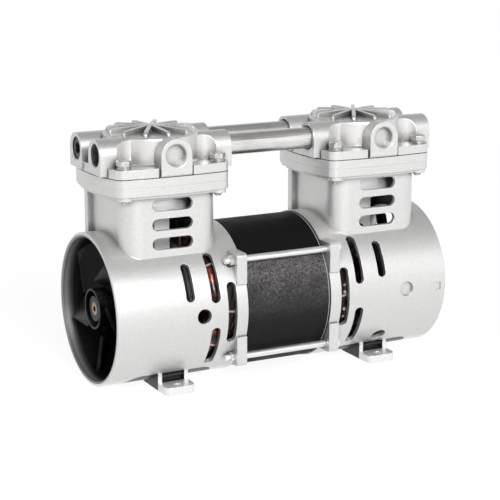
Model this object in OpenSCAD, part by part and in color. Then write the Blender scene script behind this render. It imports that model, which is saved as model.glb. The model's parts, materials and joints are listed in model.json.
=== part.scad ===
// Oil-free twin-cylinder rocking-piston air compressor.
// X runs along the motor shaft, Z is up, and the origin is under the middle of the feet.

/* [Crankcases] */
// Outer radius of the cast barrels
body_r = 57; // [56:0.5:60]
// Wall of the barrels and of the cylinder towers
wall = 3.5; // [3:0.25:4]
// Height of the barrels above the surface that the feet stand on
ground_gap = 1.5; // [1:0.5:4]
// Length of one crankcase from its open rim to the motor joint
case_len = 103; // [102:1:108]
// Distance from the open rim to the cylinder axis
cylinder_u = 52; // [51.5:0.5:53]
// Width of the square cylinder tower
tower_w = 75; // [74:0.5:77]
// Radius of the tower's upright corners
tower_corner_r = 14; // [12:0.5:15]
// Height of the crankcase's top face above the shaft axis
deck_h = 95.5; // [94:0.5:98]
// Thickness of the deck that carries the cylinder sleeve
deck_t = 8.5; // [7:0.5:9]
// Gap between the connecting rod and the bearing web
web_gap = 0.9; // [0.8:0.1:2]
// Thickness of the bearing web
web_t = 3; // [2.5:0.5:4]

/* [Plates and heads] */
// Half width of the top flange between its corners
flange_half = 42.5; // [42:0.5:44]
// Outward bow of the flange's end sides
bow_x = 8; // [7:0.5:9]
// Outward bow of the flange's front and rear sides
bow_y = 2.5; // [1.5:0.5:4]
// Corner radius of the flange, valve plate and head
flange_r = 8; // [6:0.5:9]
// Depth of the flange band under the deck face
flange_t = 6; // [5:0.5:7]
// Distance of each head bolt from the cylinder axis, along X and along Y
bolt_xy = 36.5; // [36:0.25:37]
// Radius of the head bolts' shanks
bolt_r = 3; // [2.5:0.25:3.25]
// Thickness of the valve plate
plate_t = 6.4; // [5.5:0.1:8]
// Thickness of the head gasket
gasket_t = 0.6; // [0.4:0.1:1]
// Thickness of the head's base
base_t = 6.5; // [5.5:0.5:7.5]
// Radius of the head's round drum
drum_r = 35.5; // [35:0.25:36.5]
// Height of the drum above the head's underside
drum_h = 26.3; // [26.3:0.1:28]
// Wall of the head round its gas chambers
head_wall = 4; // [3:0.25:4.5]
// Number of star ribs on the drum
rib_count = 12; // [8:1:14]
// Thickness of a star rib
rib_t = 2.8; // [2:0.2:3.4]
// Height of the star ribs' outer ends above the drum
rib_h = 3.6; // [3:0.2:5]

/* [Ports and tubes] */
// Sideways distance of the port and tube axes from the middle plane
port_y = 18; // [17.5:0.25:18.5]
// Height of the port and tube axes above the head's underside
port_h = 14.7; // [14:0.1:15]
// Radius of the port bosses
boss_r = 11.5; // [11:0.25:12]
// Set-back of the boss ends from the rim plane
boss_setback = 0.5; // [0.25:0.25:2]
// Radius of the threaded ports
port_r = 7.9; // [7:0.1:8.2]
// Depth of the threaded ports
port_depth = 12; // [9:0.5:12]
// Radius of the passages from the ports and tubes into the gas chambers
throat_r = 4.5; // [4:0.25:4.75]
// Outer radius of the crossover tubes
tube_r = 8; // [7:0.1:8.2]
// Wall of the crossover tubes
tube_wall = 1.5; // [1:0.25:2]
// Depth of each tube end in its boss
tube_in = 12; // [9:0.5:12]
// Half width of the arched front boss
arch_r = 12; // [11:0.25:12.5]
// Radius of the blind recess in the arched boss
recess_r = 7.75; // [6.5:0.25:8.5]
// Depth of the blind recess
recess_t = 5; // [3:0.5:6]

/* [Slots and holes] */
// Length of a tower slot
tower_slot_w = 32; // [28:1:36]
// Height of a tower slot
tower_slot_h = 8.8; // [7:0.2:9.2]
// Height step from one tower slot to the next
tower_slot_pitch = 14.1; // [13.5:0.1:14.5]
// Distance from the top face down to the middle of the top tower slot
tower_slot_drop = 14.9; // [14.1:0.1:15.9]
// Number of tower slots, one above the other
tower_slots = 3; // [2:1:3]
// Distance from the rim to the narrow barrel slot
narrow_slot_u = 57.5; // [56.5:0.5:58.5]
// Width of the narrow barrel slot
narrow_slot_w = 6.8; // [5:0.2:7.2]
// Distance from the rim to the two wide barrel slots
wide_slot_u = 77.5; // [77:0.5:78.5]
// Width of the wide barrel slots
wide_slot_w = 7.2; // [6:0.2:8]
// Distance from the motor joint to the slot beside it
ring_slot_in = 12.5; // [12:0.5:13]
// Width of the slot beside the motor joint
ring_slot_w = 7.3; // [6:0.1:7.6]
// Distance from the rim to the cable outlet
cable_u = 67.6; // [67.5:0.1:68.5]
// Radius of the cable outlet
cable_r = 5.6; // [4.5:0.1:6]

/* [Feet and ears] */
// Width of a foot along the shaft
foot_w = 24; // [22:1:28]
// Set-back of a foot's front edge from the side of the barrel
foot_in = 7.5; // [5:0.5:9]
// Depth of the flat pad of a foot
pad_d = 14.5; // [13.5:0.5:16]
// Thickness of the flat pad
pad_t = 5.8; // [4:0.2:7]
// Distance from a foot's front edge to its hole
foot_hole_in = 6.5; // [5.5:0.25:7]
// Radius of a foot's hole
foot_hole_r = 3.25; // [2.5:0.25:4]
// Distance from the barrel's surface out to the middle of a tie bolt
tie_out = 3; // [3:0.25:5]
// Angle of the tie bolts above and below the level of the shaft
tie_angle = 38; // [36:0.5:40]
// Radius of the tie bolts
tie_r = 2.5; // [2:0.1:2.7]
// Length of an ear along the shaft
ear_len = 8; // [7:0.5:8.5]
// Metal above a tie bolt in its ear
ear_edge = 5.5; // [4.5:0.25:6]
// Metal beside a tie bolt in its ear
ear_side = 7.5; // [6:0.25:8]
// Height of the ear's end that is nearer to the shaft, above the level of the shaft
ear_low = 20; // [16:1:24]

/* [Motor] */
// Visible length of the stator between the crankcases
stator_len = 70; // [55:1:90]
// Step from the barrel surface in to the stator surface
stator_step = 1; // [0.75:0.25:1.25]
// Depth of the stator in each crankcase
register_d = 4; // [3:0.5:5]
// Radius of the stator bore
stator_bore_r = 31.5; // [30:0.25:33]
// Air gap between stator and rotor
air_gap = 0.4; // [0.35:0.05:0.6]
// Number of winding slots
winding_slots = 24; // [18:6:24]
// Length of the winding heads beyond the stator core
winding_len = 22; // [18:1:24]
// Radius of the shaft at its bearings
shaft_r = 7.5; // [7:0.25:8]
// Radius of the shaft ends that carry eccentric and fan
shaft_end_r = 6; // [5:0.25:6.25]
// Set-back of the shaft's ends from the rim planes
shaft_setback = 5; // [3:0.5:7]

/* [Fan] */
// Gap between the fan's blade tips and the barrel
fan_gap = 3.5; // [2.5:0.5:7]
// Number of fan blades
fan_blades = 5; // [4:1:5]
// Thickness of a fan blade
blade_t = 2; // [1.4:0.2:2.6]
// Radius of the fan's hub
hub_r = 15; // [14:0.5:16]
// Length of the fan's hub along the shaft
hub_len = 20; // [18:0.5:22]
// Set-back of the fan from the rim plane
fan_setback = 3.5; // [2:0.5:5]

/* [Crank and piston] */
// Crank radius, half the stroke
crank_e = 7; // [5:0.5:7]
// Radius of the cylinder bore
bore_r = 25; // [24.5:0.25:25.5]
// Wall of the cylinder sleeve
sleeve_wall = 3; // [2.5:0.25:3.5]
// Length of the cylinder sleeve
sleeve_len = 23.5; // [23.5:0.25:25]
// Running gap between the piston cup and the sleeve
cup_gap = 0.08; // [0.05:0.01:0.1]
// Gap between the piston crown and the valve plate at top dead centre
tdc_gap = 0.6; // [0.5:0.1:1]
// Thickness of the connecting rod along the shaft
rod_t = 12; // [11:0.5:12]
// Width of the rod's shank across the shaft
shank_w = 36; // [30:1:38]
// Outer radius of the rod bearing
rod_bearing_r = 27.5; // [27:0.25:28]
// Inner radius of the rod bearing
journal_r = 15; // [14.75:0.25:16]
// Metal round the rod bearing
rod_ring_wall = 5; // [4:0.5:5.5]
// Radius of the crank counterweight
weight_r = 36; // [30:1:42]
// Outer radius of the main bearings
main_bearing_r = 17.5; // [17:0.25:18.5]
// Width of the main bearings
main_bearing_w = 11; // [10:0.5:11]

/* [Valves] */
// Length of a valve reed
reed_len = 28; // [26:1:28]
// Width of a valve reed
reed_w = 6; // [5:0.5:7]
// Thickness of a valve reed
reed_t = 0.3; // [0.2:0.05:0.5]
// Sideways distance of the reeds from the middle plane
reed_y = 12; // [11.5:0.25:12.5]
// Radius of a valve hole
valve_hole_r = 2.2; // [1.6:0.1:2.4]

/* [Hidden] */
$fn = 64;

// Clearances
seat_gap = 0.03; // between a pressed or seated round piece and its seat
screw_gap = 0.2; // round a bolt in its hole
clear = 0.3; // between a moving face and its neighbour
over = 1; // how far a cut runs past the face that it opens
eps = 0.01; // the same for a chamfer's cut

// Lengths along the shaft
half_len = stator_len / 2 + case_len;
head_x = half_len - cylinder_u;
core_half = stator_len / 2 + register_d;

// Radii round the shaft
inner_r = body_r - wall;
stator_r = body_r - stator_step;
rotor_r = stator_bore_r - air_gap;
fan_r = inner_r - fan_gap;
tie_pitch_r = body_r + tie_out;

// Crankcase
web_u = cylinder_u + rod_t / 2 + web_gap; // rim to web
ring_slot_u = case_len - ring_slot_in;
tower_slot_top = deck_h - tower_slot_drop;
foot_y = body_r - foot_in;
foot_hole_y = foot_y - foot_hole_in;
rim_chamfer = 0.8;

// Heights
axis_h = body_r + ground_gap;
plate_h = deck_h;
gasket_h = plate_h + plate_t;
head_h = gasket_h + gasket_t;
crown_h = deck_h - tdc_gap;
rod_len = crown_h - crank_e;

// Head
boss_reach = cylinder_u - boss_setback;
arch_reach = flange_half + bow_y + 1; // front face of the arched boss
arch_skirt = 0.8; // how far the bosses stop above the gasket face
tube_bore_r = tube_r + clear;
tube_depth = tube_in + clear;
mouth_chamfer = 1.2;
recess_chamfer = 1;
chamber_r = drum_r - head_wall;
divider_t = 4;
rib_r = drum_r - 2.5;
rib_round = 3; // outer top corner of a rib, seen from the side
rib_rise = 1.2; // of a rib's top from its outer end to the middle
rib_hub_r = 4; // round post where the ribs meet
drum_round = 2;
drum_foot = 1.2; // chamfer between the drum and the base
pocket_x = 28.5; // round pockets in the port bosses beside the head bolts
pocket_y = 37;
pocket_r = 13;
relief_w = 1.5; // upright grooves in the base beside the bosses
relief_y = 2.4; // depth of those beside the arched boss
relief_x = 3.2; // depth of those beside the port bosses
tube_groove_in = 3; // mouth to groove
tube_groove_w = 2.4;
tube_groove_t = 1.1;

// Sleeve
sleeve_r = bore_r + sleeve_wall;
collar_r = sleeve_r + 3;
collar_t = 3;
ring_groove_w = 2;
ring_groove_t = 1.4;
ring_groove_r = sleeve_r - sleeve_wall / 2 + 1.7;

// Bolts
hex_af = 10;
hex_h = 4;
washer_r = 5.3;
washer_t = 1.2;
spring_in = 0.6; // how much smaller the spring washer is
spring_slit = 0.8;
bolt_tip = 2.5;
bolt_boss_r = 6;
bolt_boss_t = 3; // below the flange band
tie_hex_af = 8;
tie_hex_h = 3.5;
tie_tip = 7;

// Flange lip
lip_t = 2;
lip_inset = 1.8;

// Rear rib on the tower's end faces
tower_rib_y = 24;
tower_rib_w = 6;
tower_rib_out = 3.5;

// Bearings
ball_gap = clear;
bearing_lip_t = 1; // web left in front of a main bearing
bearing_lip_in = 2;
main_ball_r = 2.7;
main_pitch_r = (main_bearing_r + shaft_r) / 2;
main_balls = 8;
shaft_mid_r = shaft_r + 1.5; // shoulder between the main bearings
main_land = 2; // radius step from the ball track centre to each ring's land
rod_ball_r = 3.2;
rod_balls = 12;
rod_land = 2.4;
bearing_hub_wall = 3.5;

// Crank
crank_u0 = 33;
crank_hub_r = 13;
weight_t = 8;
weight_top = 5; // the weight's edge above the shaft axis
weight_u = 34.5;
rod_u = cylinder_u - rod_t / 2;
set_screw_r = 2.5;
set_screw_len = 6;
set_screw_u = 38.5;
set_socket_af = 2.5;
set_socket_t = 3;

// Piston
retainer_t = 3.2;
retainer_r = bore_r - 2.5;
cup_t = 1.3;
cup_lip = 4;
piston_r = bore_r - 1;
piston_t = 4;
flare_t = 8;
flare_in = 2; // the flare's set-back from the shank and the piston
piston_stack = retainer_t + cup_t + piston_t;
piston_screw_r = 3;
piston_screw_head_r = 5.5;
piston_screw_head_t = 2.2;
piston_screw_len = 12;
piston_socket_af = 4;
piston_socket_t = 2;
relief_t = 1.9;
relief_gap = 1; // round the reed

// Reeds
reed_x0 = -reed_len / 2; // fixed end
rivet_x = reed_x0 + 3;
rivet_r = 1.2;
rivet_head_r = 2.2;
rivet_head_t = 0.5;
reed_pocket_t = reed_t + 0.25;
pocket_gap = 0.5; // round the intake reed
reed_rest = 0.05; // between a closed reed and its seat
reed_lift_angle = 4;
valve_holes = 3; // under one reed
valve_hole_x = -1; // first hole's place along the reed
valve_hole_step = 5.5;
stop_t = 1.6;
stop_rise = 0.6; // of the stop's underside over its foot
reed_reach = reed_rest + reed_t + clear; // height over a closed reed
stop_top = reed_reach + stop_t + stop_rise;

// Winding slots
slot_r0 = stator_bore_r + 1.5;
yoke_t = 10; // iron outside the slots
slot_r1 = stator_r - yoke_t;
slot_open = 2;
slot_w = 4.4;
winding_r0 = stator_bore_r + 2.5;
winding_gap = 3.5; // to the crankcase
winding_r1 = inner_r - winding_gap;
winding_round = 4;

// Barrel slot angles above the level of the shaft
narrow_slot_a = [12, 41];
upper_slot_a = [9, 48];
lower_slot_a = [-46, -10];
ring_slot_a = [-24, 23];

// Helpers

// Solid round bar along X
module bar_x(x0, x1, r) {
    translate([x0, 0, 0]) rotate([0, 90, 0]) cylinder(r = r, h = x1 - x0);
}

// Cone along X
module cone_x(x0, x1, r0, r1) {
    translate([x0, 0, 0]) rotate([0, 90, 0]) cylinder(r1 = r0, r2 = r1, h = x1 - x0);
}

// Tube along X
module tube_x(x0, x1, r_out, r_in) {
    difference() {
        bar_x(x0, x1, r_out);
        bar_x(x0 - over, x1 + over, r_in);
    }
}

// Ring along X turned from a profile drawn as [distance along X, radius]
module turned_x() {
    rotate([0, 90, 0]) rotate_extrude() rotate(90) mirror([0, 1]) children();
}

// Cutter for a round hole of radius r through a plate from Z = 0 to t
module through(r, t) {
    translate([0, 0, -over]) cylinder(r = r, h = t + 2 * over);
}

// Hexagonal prism along Z
module hex(af, h) {
    cylinder(r = af / sqrt(3), h = h, $fn = 6);
}

// Frame of the left crankcase: X from its rim towards the motor, Z from the shaft axis
module left_end() {
    translate([-half_len, 0, axis_h]) children();
}

// The same frame for the right crankcase, as a mirror image
module right_end() {
    mirror([1, 0, 0]) left_end() children();
}

// Frame of one cylinder: side is -1 or 1, Z from height h above the shaft axis
module at_cylinder(side, h) {
    translate([side * head_x, 0, axis_h + h]) children();
}

// The four bolt places round a cylinder
module at_bolts() {
    for (sx = [-1, 1], sy = [-1, 1]) translate([sx * bolt_xy, sy * bolt_xy, 0]) children();
}

// The four tie bolt places round the shaft, as [y, height] signs
module at_ties() {
    for (sy = [-1, 1], sz = [-1, 1])
        translate([0, sy * tie_pitch_r * cos(tie_angle), sz * tie_pitch_r * sin(tie_angle)])
            children();
}

// Rounded square with true arcs
module round_square(w, r) {
    square([w - 2 * r, w], center = true);
    square([w, w - 2 * r], center = true);
    for (sx = [-1, 1], sy = [-1, 1]) translate([sx * (w / 2 - r), sy * (w / 2 - r)]) circle(r);
}

function bow_radius(half, bow) = (half * half + bow * bow) / (2 * bow);

// Points along an arc, from angle a0 to a1
function arc(cx, cy, r, a0, a1, n) =
    [for (i = [0:n]) let (a = a0 + (a1 - a0) * i / n) [cx + r * cos(a), cy + r * sin(a)]];

function reversed(p) = [for (i = [len(p) - 1:-1:0]) p[i]];
function tail(p) = [for (i = [1:len(p) - 1]) p[i]];
function inner(p) = [for (i = [1:len(p) - 2]) p[i]];

// First quarter of a square outline with bowed sides and round corners
function bowed_quarter(half, bx, by, r) =
    let (
        r1 = bow_radius(half, bx),
        r2 = bow_radius(half, by),
        p = r1 - half - bx,
        q = r2 - half - by,
        k = ((r1 - r) * (r1 - r) - (r2 - r) * (r2 - r) - p * p + q * q) / (2 * p),
        a = q * q / (p * p) + 1,
        b = 2 * k * q / p + 2 * q,
        c = k * k + q * q - (r2 - r) * (r2 - r),
        cy = (sqrt(b * b - 4 * a * c) - b) / (2 * a),
        cx = k + q / p * cy,
        a1 = atan2(cy, cx + p),
        a2 = atan2(cy + q, cx)
    )
    concat(arc(-p, 0, r1, 0, a1, 5), tail(arc(cx, cy, r, a1, a2, 8)), tail(arc(0, -q, r2, a2, 90, 3)));

// Outline of the flange, valve plate, gasket and head base
module bowed_square(inset = 0) {
    q1 = bowed_quarter(flange_half - inset, bow_x, bow_y, flange_r - inset);
    q2 = [for (p = tail(reversed(q1))) [-p[0], p[1]]];
    q3 = [for (p = tail(q1)) [-p[0], -p[1]]];
    q4 = [for (p = inner(reversed(q1))) [p[0], -p[1]]];
    polygon(concat(q1, q2, q3, q4));
}

// Crankcase

// Cutter for one slot round the barrel at distance u from the rim, on the front side
module barrel_slot(u, w, angles) {
    cut_r = inner_r - 2 * over;
    out_r = body_r + 2 * over;
    span = angles[1] - angles[0];
    end_a = asin(w / 2 / body_r);
    slot_relief = 0.05; // keeps the round ends from meeting the sides edge to edge
    rotate([-angles[1] + end_a, 0, 0]) rotate([0, 90, 0]) rotate([0, 0, -90])
        rotate_extrude(angle = span - 2 * end_a)
            translate([cut_r, u - w / 2]) square([out_r - cut_r, w]);
    for (a = [angles[0] + end_a, angles[1] - end_a])
        rotate([-a, 0, 0]) translate([u, -cut_r, 0]) rotate([90, 0, 0])
            cylinder(r = w / 2 + slot_relief, h = out_r - cut_r, $fn = 32);
}

// The four slots of the barrel, cut on the front and on the rear
module barrel_slots() {
    for (s = [0, 1]) mirror([0, s, 0]) {
        barrel_slot(narrow_slot_u, narrow_slot_w, narrow_slot_a);
        barrel_slot(wide_slot_u, wide_slot_w, upper_slot_a);
        barrel_slot(wide_slot_u, wide_slot_w, lower_slot_a);
        barrel_slot(ring_slot_u, ring_slot_w, ring_slot_a);
    }
}

// Cutter for the tower slots, right through the front and rear walls
module tower_slot_cuts() {
    run = tower_slot_w - tower_slot_h;
    for (i = [0:tower_slots - 1])
        translate([cylinder_u, 0, tower_slot_top - i * tower_slot_pitch]) rotate([90, 0, 0]) {
            cube([run, tower_slot_h, 2 * body_r], center = true);
            for (s = [-1, 1]) translate([s * run / 2, 0, 0])
                cylinder(r = tower_slot_h / 2, h = 2 * body_r, center = true, $fn = 32);
        }
}

// One foot on the front side, with its pad, side ribs and ledge
module foot() {
    pad_round = 5;
    rib = 3;
    pocket_d = 6;
    ledge_z = 9.5;
    ledge_t = 1.5;
    web_y = foot_y - pad_d;
    web_y0 = 8;
    web_h = 22;
    translate([cylinder_u, 0, -axis_h]) mirror([0, 1, 0]) {
        translate([-foot_w / 2, web_y - over, 0]) cube([foot_w, pad_d + over - pad_round, pad_t]);
        translate([-foot_w / 2 + pad_round, web_y - over, 0])
            cube([foot_w - 2 * pad_round, pad_d + over, pad_t]);
        for (s = [-1, 1]) translate([s * (foot_w / 2 - pad_round), foot_y - pad_round, 0])
            cylinder(r = pad_round, h = pad_t);
        difference() {
            translate([-foot_w / 2, web_y0, 0]) cube([foot_w, web_y - web_y0, web_h]);
            translate([-foot_w / 2 + rib, web_y - pocket_d, pad_t])
                cube([foot_w - 2 * rib, pocket_d + over, web_h]);
        }
        translate([-foot_w / 2, web_y - pocket_d - over, ledge_z]) cube([foot_w, pocket_d - over, ledge_t]);
    }
}

// Corner block that carries one tie bolt beside the motor joint
module ear() {
    reach_y = tie_pitch_r * cos(tie_angle) + ear_side;
    reach_z = tie_pitch_r * sin(tie_angle) + ear_edge;
    ear_round = 2.5;
    translate([case_len - ear_len, 0, 0]) {
        translate([0, 0, ear_low]) cube([ear_len, reach_y - ear_round, reach_z - ear_low]);
        translate([0, 0, ear_low]) cube([ear_len, reach_y, reach_z - ear_low - ear_round]);
        translate([0, reach_y - ear_round, reach_z - ear_round])
            rotate([0, 90, 0]) cylinder(r = ear_round, h = ear_len, $fn = 32);
    }
}

// Spider web with the main bearing's seat
module bearing_web() {
    hub_r_out = main_bearing_r + bearing_hub_wall;
    web_top = tower_slot_top - (tower_slots - 1) * tower_slot_pitch - tower_slot_h / 2;
    hub_t = main_bearing_w + bearing_lip_t;
    window_in = 3; // from the hub
    window_out = 6; // from the barrel's wall
    window_r0 = hub_r_out + window_in;
    window_r1 = inner_r - window_out;
    window_a = 40;
    spokes = 6;
    spoke_w = 4;
    spoke_step = 360 / spokes;
    difference() {
        union() {
            bar_x(web_u, web_u + web_t, inner_r + wall / 2);
            bar_x(web_u, web_u + hub_t, hub_r_out);
            for (k = [0:spokes - 1]) rotate([spoke_step * k, 0, 0])
                translate([web_u, -spoke_w / 2, hub_r_out - over])
                    cube([web_t + spoke_w, spoke_w, inner_r - hub_r_out]);
        }
        bar_x(web_u - over, web_u + hub_t, main_bearing_r - bearing_lip_in);
        bar_x(web_u + bearing_lip_t, web_u + hub_t + over, main_bearing_r + seat_gap);
        for (k = [0:spokes - 1]) rotate([spoke_step * k, 0, 0]) rotate([0, 90, 0])
            rotate([0, 0, (spoke_step - window_a) / 2]) rotate_extrude(angle = window_a)
                translate([window_r0, web_u - over]) square([window_r1 - window_r0, web_t + 2 * over]);
        translate([web_u - over, over - tower_w / 2, web_top])
            cube([tower_w, tower_w - 2 * over, body_r]);
    }
}

// Everything that both crankcases share
module crankcase() {
    flange_h = deck_h - flange_t;
    difference() {
        union() {
            difference() {
                union() {
                    bar_x(rim_chamfer, case_len, body_r);
                    cone_x(0, rim_chamfer, body_r - rim_chamfer, body_r);
                    translate([cylinder_u, 0, 0]) {
                        linear_extrude(deck_h) round_square(tower_w, tower_corner_r);
                        translate([0, 0, flange_h]) linear_extrude(flange_t) bowed_square();
                        translate([0, 0, flange_h - lip_t]) linear_extrude(lip_t) bowed_square(lip_inset);
                        translate([0, 0, flange_h - bolt_boss_t])
                            at_bolts() cylinder(r = bolt_boss_r, h = bolt_boss_t);
                        for (s = [0, 1]) mirror([s, 0, 0]) translate([tower_w / 2 - over, tower_rib_y, 0])
                            cube([tower_rib_out + over, tower_rib_w, flange_h]);
                    }
                    for (s = [0, 1]) mirror([0, s, 0]) foot();
                    for (sy = [0, 1], sz = [0, 1]) mirror([0, sy, 0]) mirror([0, 0, sz]) ear();
                }
                bar_x(-over, case_len + over, inner_r);
                cone_x(-eps, rim_chamfer, inner_r + rim_chamfer + eps, inner_r);
                bar_x(case_len - register_d, case_len + over, stator_r + seat_gap);
                at_ties() bar_x(case_len - ear_len - tie_hex_h - over, case_len - ear_len,
                    tie_hex_af / sqrt(3) + clear);
                tower_slot_cuts();
                translate([cylinder_u, 0, 0]) {
                    linear_extrude(deck_h - deck_t)
                        round_square(tower_w - 2 * wall, tower_corner_r - wall);
                    cylinder(r = sleeve_r + seat_gap, h = deck_h + over);
                    translate([0, 0, deck_h - collar_t])
                        cylinder(r = collar_r + seat_gap, h = collar_t + over);
                }
            }
            bearing_web();
        }
        barrel_slots();
        translate([cylinder_u, 0, flange_h - bolt_boss_t - bolt_tip - clear])
            at_bolts() cylinder(r = bolt_r + screw_gap, h = deck_h);
        at_ties() bar_x(case_len - ear_len - over, case_len + over, tie_r + screw_gap);
        for (s = [-1, 1]) translate([cylinder_u, s * foot_hole_y, -axis_h - over])
            cylinder(r = foot_hole_r, h = pad_t + 2 * over);
    }
}

module crankcase_left() {
    color("silver") left_end() difference() {
        crankcase();
        translate([cable_u, over - inner_r, 0]) rotate([90, 0, 0])
            cylinder(r = cable_r, h = wall + 2 * over);
    }
}

module crankcase_right() {
    blind_u = 36;
    blind_r = 5.75;
    blind_t = 2;
    vent_a = 42.5;
    vent_r = 6;
    mark_u = 7; // a shallow square mark near the rim
    mark_z = -1;
    mark_w = 4.5;
    mark_h = 6;
    mark_t = 0.7;
    color("silver") right_end() difference() {
        crankcase();
        translate([blind_u, -body_r + blind_t, 0]) rotate([90, 0, 0]) cylinder(r = blind_r, h = body_r);
        rotate([vent_a, 0, 0]) translate([cylinder_u, 0, 0]) rotate([90, 0, 0])
            cylinder(r = vent_r, h = body_r + over);
        translate([mark_u - mark_w / 2, -body_r - over, mark_z - mark_h / 2])
            cube([mark_w, mark_t + over, mark_h]);
    }
}

// Motor

// One winding slot of the stator, pointing along Y, grown by g on its sides
module slot_shape(g) {
    translate([-slot_w / 2 - g, slot_r0]) square([slot_w + 2 * g, slot_r1 - slot_r0 + g]);
}

module stator_core() {
    color("dimgray") translate([-core_half, 0, axis_h]) rotate([90, 0, 90])
        linear_extrude(2 * core_half) difference() {
            circle(stator_r);
            circle(stator_bore_r);
            for (k = [0:winding_slots - 1]) rotate(k * 360 / winding_slots) {
                slot_shape(0);
                translate([-slot_open / 2, stator_bore_r - over])
                    square([slot_open, slot_r0 - stator_bore_r + 2 * over]);
            }
        }
}

// Profile of one winding head, as [distance along X, radius]
module winding_profile() {
    w = winding_len;
    d = winding_r1 - winding_r0;
    r = winding_round;
    translate([0, winding_r0]) square([w - r, d]);
    translate([0, winding_r0 + r]) square([w, d - 2 * r]);
    for (y = [winding_r0 + r, winding_r1 - r]) translate([w - r, y]) circle(r, $fn = 32);
}

module stator_windings() {
    color("chocolate") translate([0, 0, axis_h]) {
        for (s = [0, 1]) mirror([s, 0, 0]) translate([core_half + seat_gap, 0, 0])
            turned_x() winding_profile();
        translate([-core_half - over, 0, 0]) rotate([90, 0, 90]) linear_extrude(2 * core_half + 2 * over)
            for (k = [0:winding_slots - 1]) rotate(k * 360 / winding_slots) slot_shape(-2 * seat_gap);
    }
}

module rotor_core() {
    ring_in = 4; // from the air gap
    ring_r = rotor_r - ring_in;
    ring_len = 5;
    color("gray") translate([0, 0, axis_h]) difference() {
        union() {
            bar_x(-core_half, core_half, rotor_r);
            bar_x(-core_half - ring_len, core_half + ring_len, ring_r);
        }
        bar_x(-half_len, half_len, shaft_mid_r + seat_gap);
    }
}

module motor_shaft() {
    nose = 0.6; // bearing seat's length past the bearing
    seat_x = half_len - web_u - bearing_lip_t - main_bearing_w;
    step_x = half_len - web_u - bearing_lip_t + nose;
    end_x = half_len - shaft_setback;
    drill_r = 2;
    drill_t = 5;
    color("slategray") translate([0, 0, axis_h]) difference() {
        union() {
            bar_x(-seat_x, seat_x, shaft_mid_r);
            bar_x(-step_x, step_x, shaft_r);
            bar_x(-end_x, end_x, shaft_end_r);
        }
        for (s = [-1, 1]) translate([s * end_x, 0, 0]) bar_x(-drill_t, drill_t, drill_r);
    }
}

// Main bearings

// Bearing ring of width w, from r_in to r_out, with a ball track at radius pitch
module bearing_ring(w, r_in, r_out, pitch, ball) {
    turned_x() difference() {
        translate([0, r_in]) square([w, r_out - r_in]);
        translate([w / 2, pitch]) circle(ball + ball_gap, $fn = 32);
    }
}

// Balls of one bearing of width w, centred on X
module bearing_balls(w, pitch, ball, count) {
    for (k = [0:count - 1]) rotate([k * 360 / count, 0, 0]) translate([w / 2, 0, pitch])
        sphere(r = ball, $fn = 32);
}

module at_main_bearings() {
    for (s = [0, 1]) mirror([s, 0, 0]) left_end() translate([web_u + bearing_lip_t, 0, 0]) children();
}

module main_bearing_outer_rings() {
    color("lightsteelblue") at_main_bearings()
        bearing_ring(main_bearing_w, main_pitch_r + main_land, main_bearing_r, main_pitch_r,
            main_ball_r);
}

module main_bearing_inner_rings() {
    color("lightsteelblue") at_main_bearings()
        bearing_ring(main_bearing_w, shaft_r + seat_gap, main_pitch_r - main_land, main_pitch_r,
            main_ball_r);
}

module main_bearing_balls() {
    color("white") at_main_bearings()
        bearing_balls(main_bearing_w, main_pitch_r, main_ball_r, main_balls);
}

// Fan

// Cambered blade standing along Z, its leading edge near the rim and towards +Y
module fan_blade() {
    camber_r = 42;
    chord_y = 17;
    lead_u = 2;
    trail_u = hub_len - 1;
    mid = (lead_u + trail_u) / 2;
    chord = sqrt(4 * chord_y * chord_y + (trail_u - lead_u) * (trail_u - lead_u));
    tilt = atan2(trail_u - lead_u, 2 * chord_y);
    sink = sqrt(camber_r * camber_r - chord * chord / 4);
    root_r = hub_r - 1;
    outline_r = 24;
    outline_z = fan_r - outline_r + 1;
    intersection() {
        translate([mid, 0, root_r]) rotate([0, 0, tilt]) linear_extrude(fan_r) intersection() {
            translate([-sink, 0]) difference() {
                circle(camber_r + blade_t / 2, $fn = 96);
                circle(camber_r - blade_t / 2, $fn = 96);
            }
            translate([-camber_r, -chord / 2]) square([2 * camber_r, chord]);
        }
        bar_x(0, 2 * hub_len, fan_r);
        translate([0, 0, outline_z]) union() {
            bar_x(-hub_len, 2 * hub_len, outline_r);
            translate([-hub_len, -outline_r, -outline_z]) cube([3 * hub_len, 2 * outline_r, outline_z]);
        }
    }
}

module fan() {
    rim_t = 1.4;
    cup_t = 7;
    boss = shaft_end_r + 3.5;
    boss_in = 1.5; // the boss's set-back from the hub's rim
    first_blade = -19;
    translate([fan_setback, 0, 0]) {
        difference() {
            bar_x(0, hub_len, hub_r);
            bar_x(-over, cup_t, hub_r - rim_t);
            bar_x(-over, hub_len + over, shaft_end_r + seat_gap);
        }
        tube_x(boss_in, cup_t + over, boss, shaft_end_r + seat_gap);
        for (k = [0:fan_blades - 1]) rotate([first_blade + k * 360 / fan_blades, 0, 0]) fan_blade();
    }
}

module fan_left() {
    color([0.12, 0.12, 0.12]) left_end() fan();
}

module fan_right() {
    color([0.12, 0.12, 0.12]) right_end() fan();
}

// Crank drive

// Eccentric with its counterweight, and the journal cut short of the rod bearing
module eccentric() {
    difference() {
        union() {
            bar_x(crank_u0, rod_u - clear, crank_hub_r);
            translate([0, 0, crank_e]) bar_x(weight_u + weight_t, rod_u - clear, journal_r - seat_gap);
            intersection() {
                bar_x(weight_u, weight_u + weight_t, weight_r);
                translate([0, -weight_r - over, -weight_r - over])
                    cube([half_len, 2 * weight_r + 2 * over, weight_r + over + weight_top]);
            }
        }
        bar_x(0, half_len, shaft_end_r + seat_gap);
        translate([set_screw_u, 0, shaft_end_r]) cylinder(r = set_screw_r + seat_gap, h = crank_hub_r);
    }
}

// Frame of the right crank, half a turn behind the left one
module right_crank() {
    right_end() rotate([180, 0, 0]) children();
}

module eccentric_left() {
    color("darkgray") left_end() eccentric();
}

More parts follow.
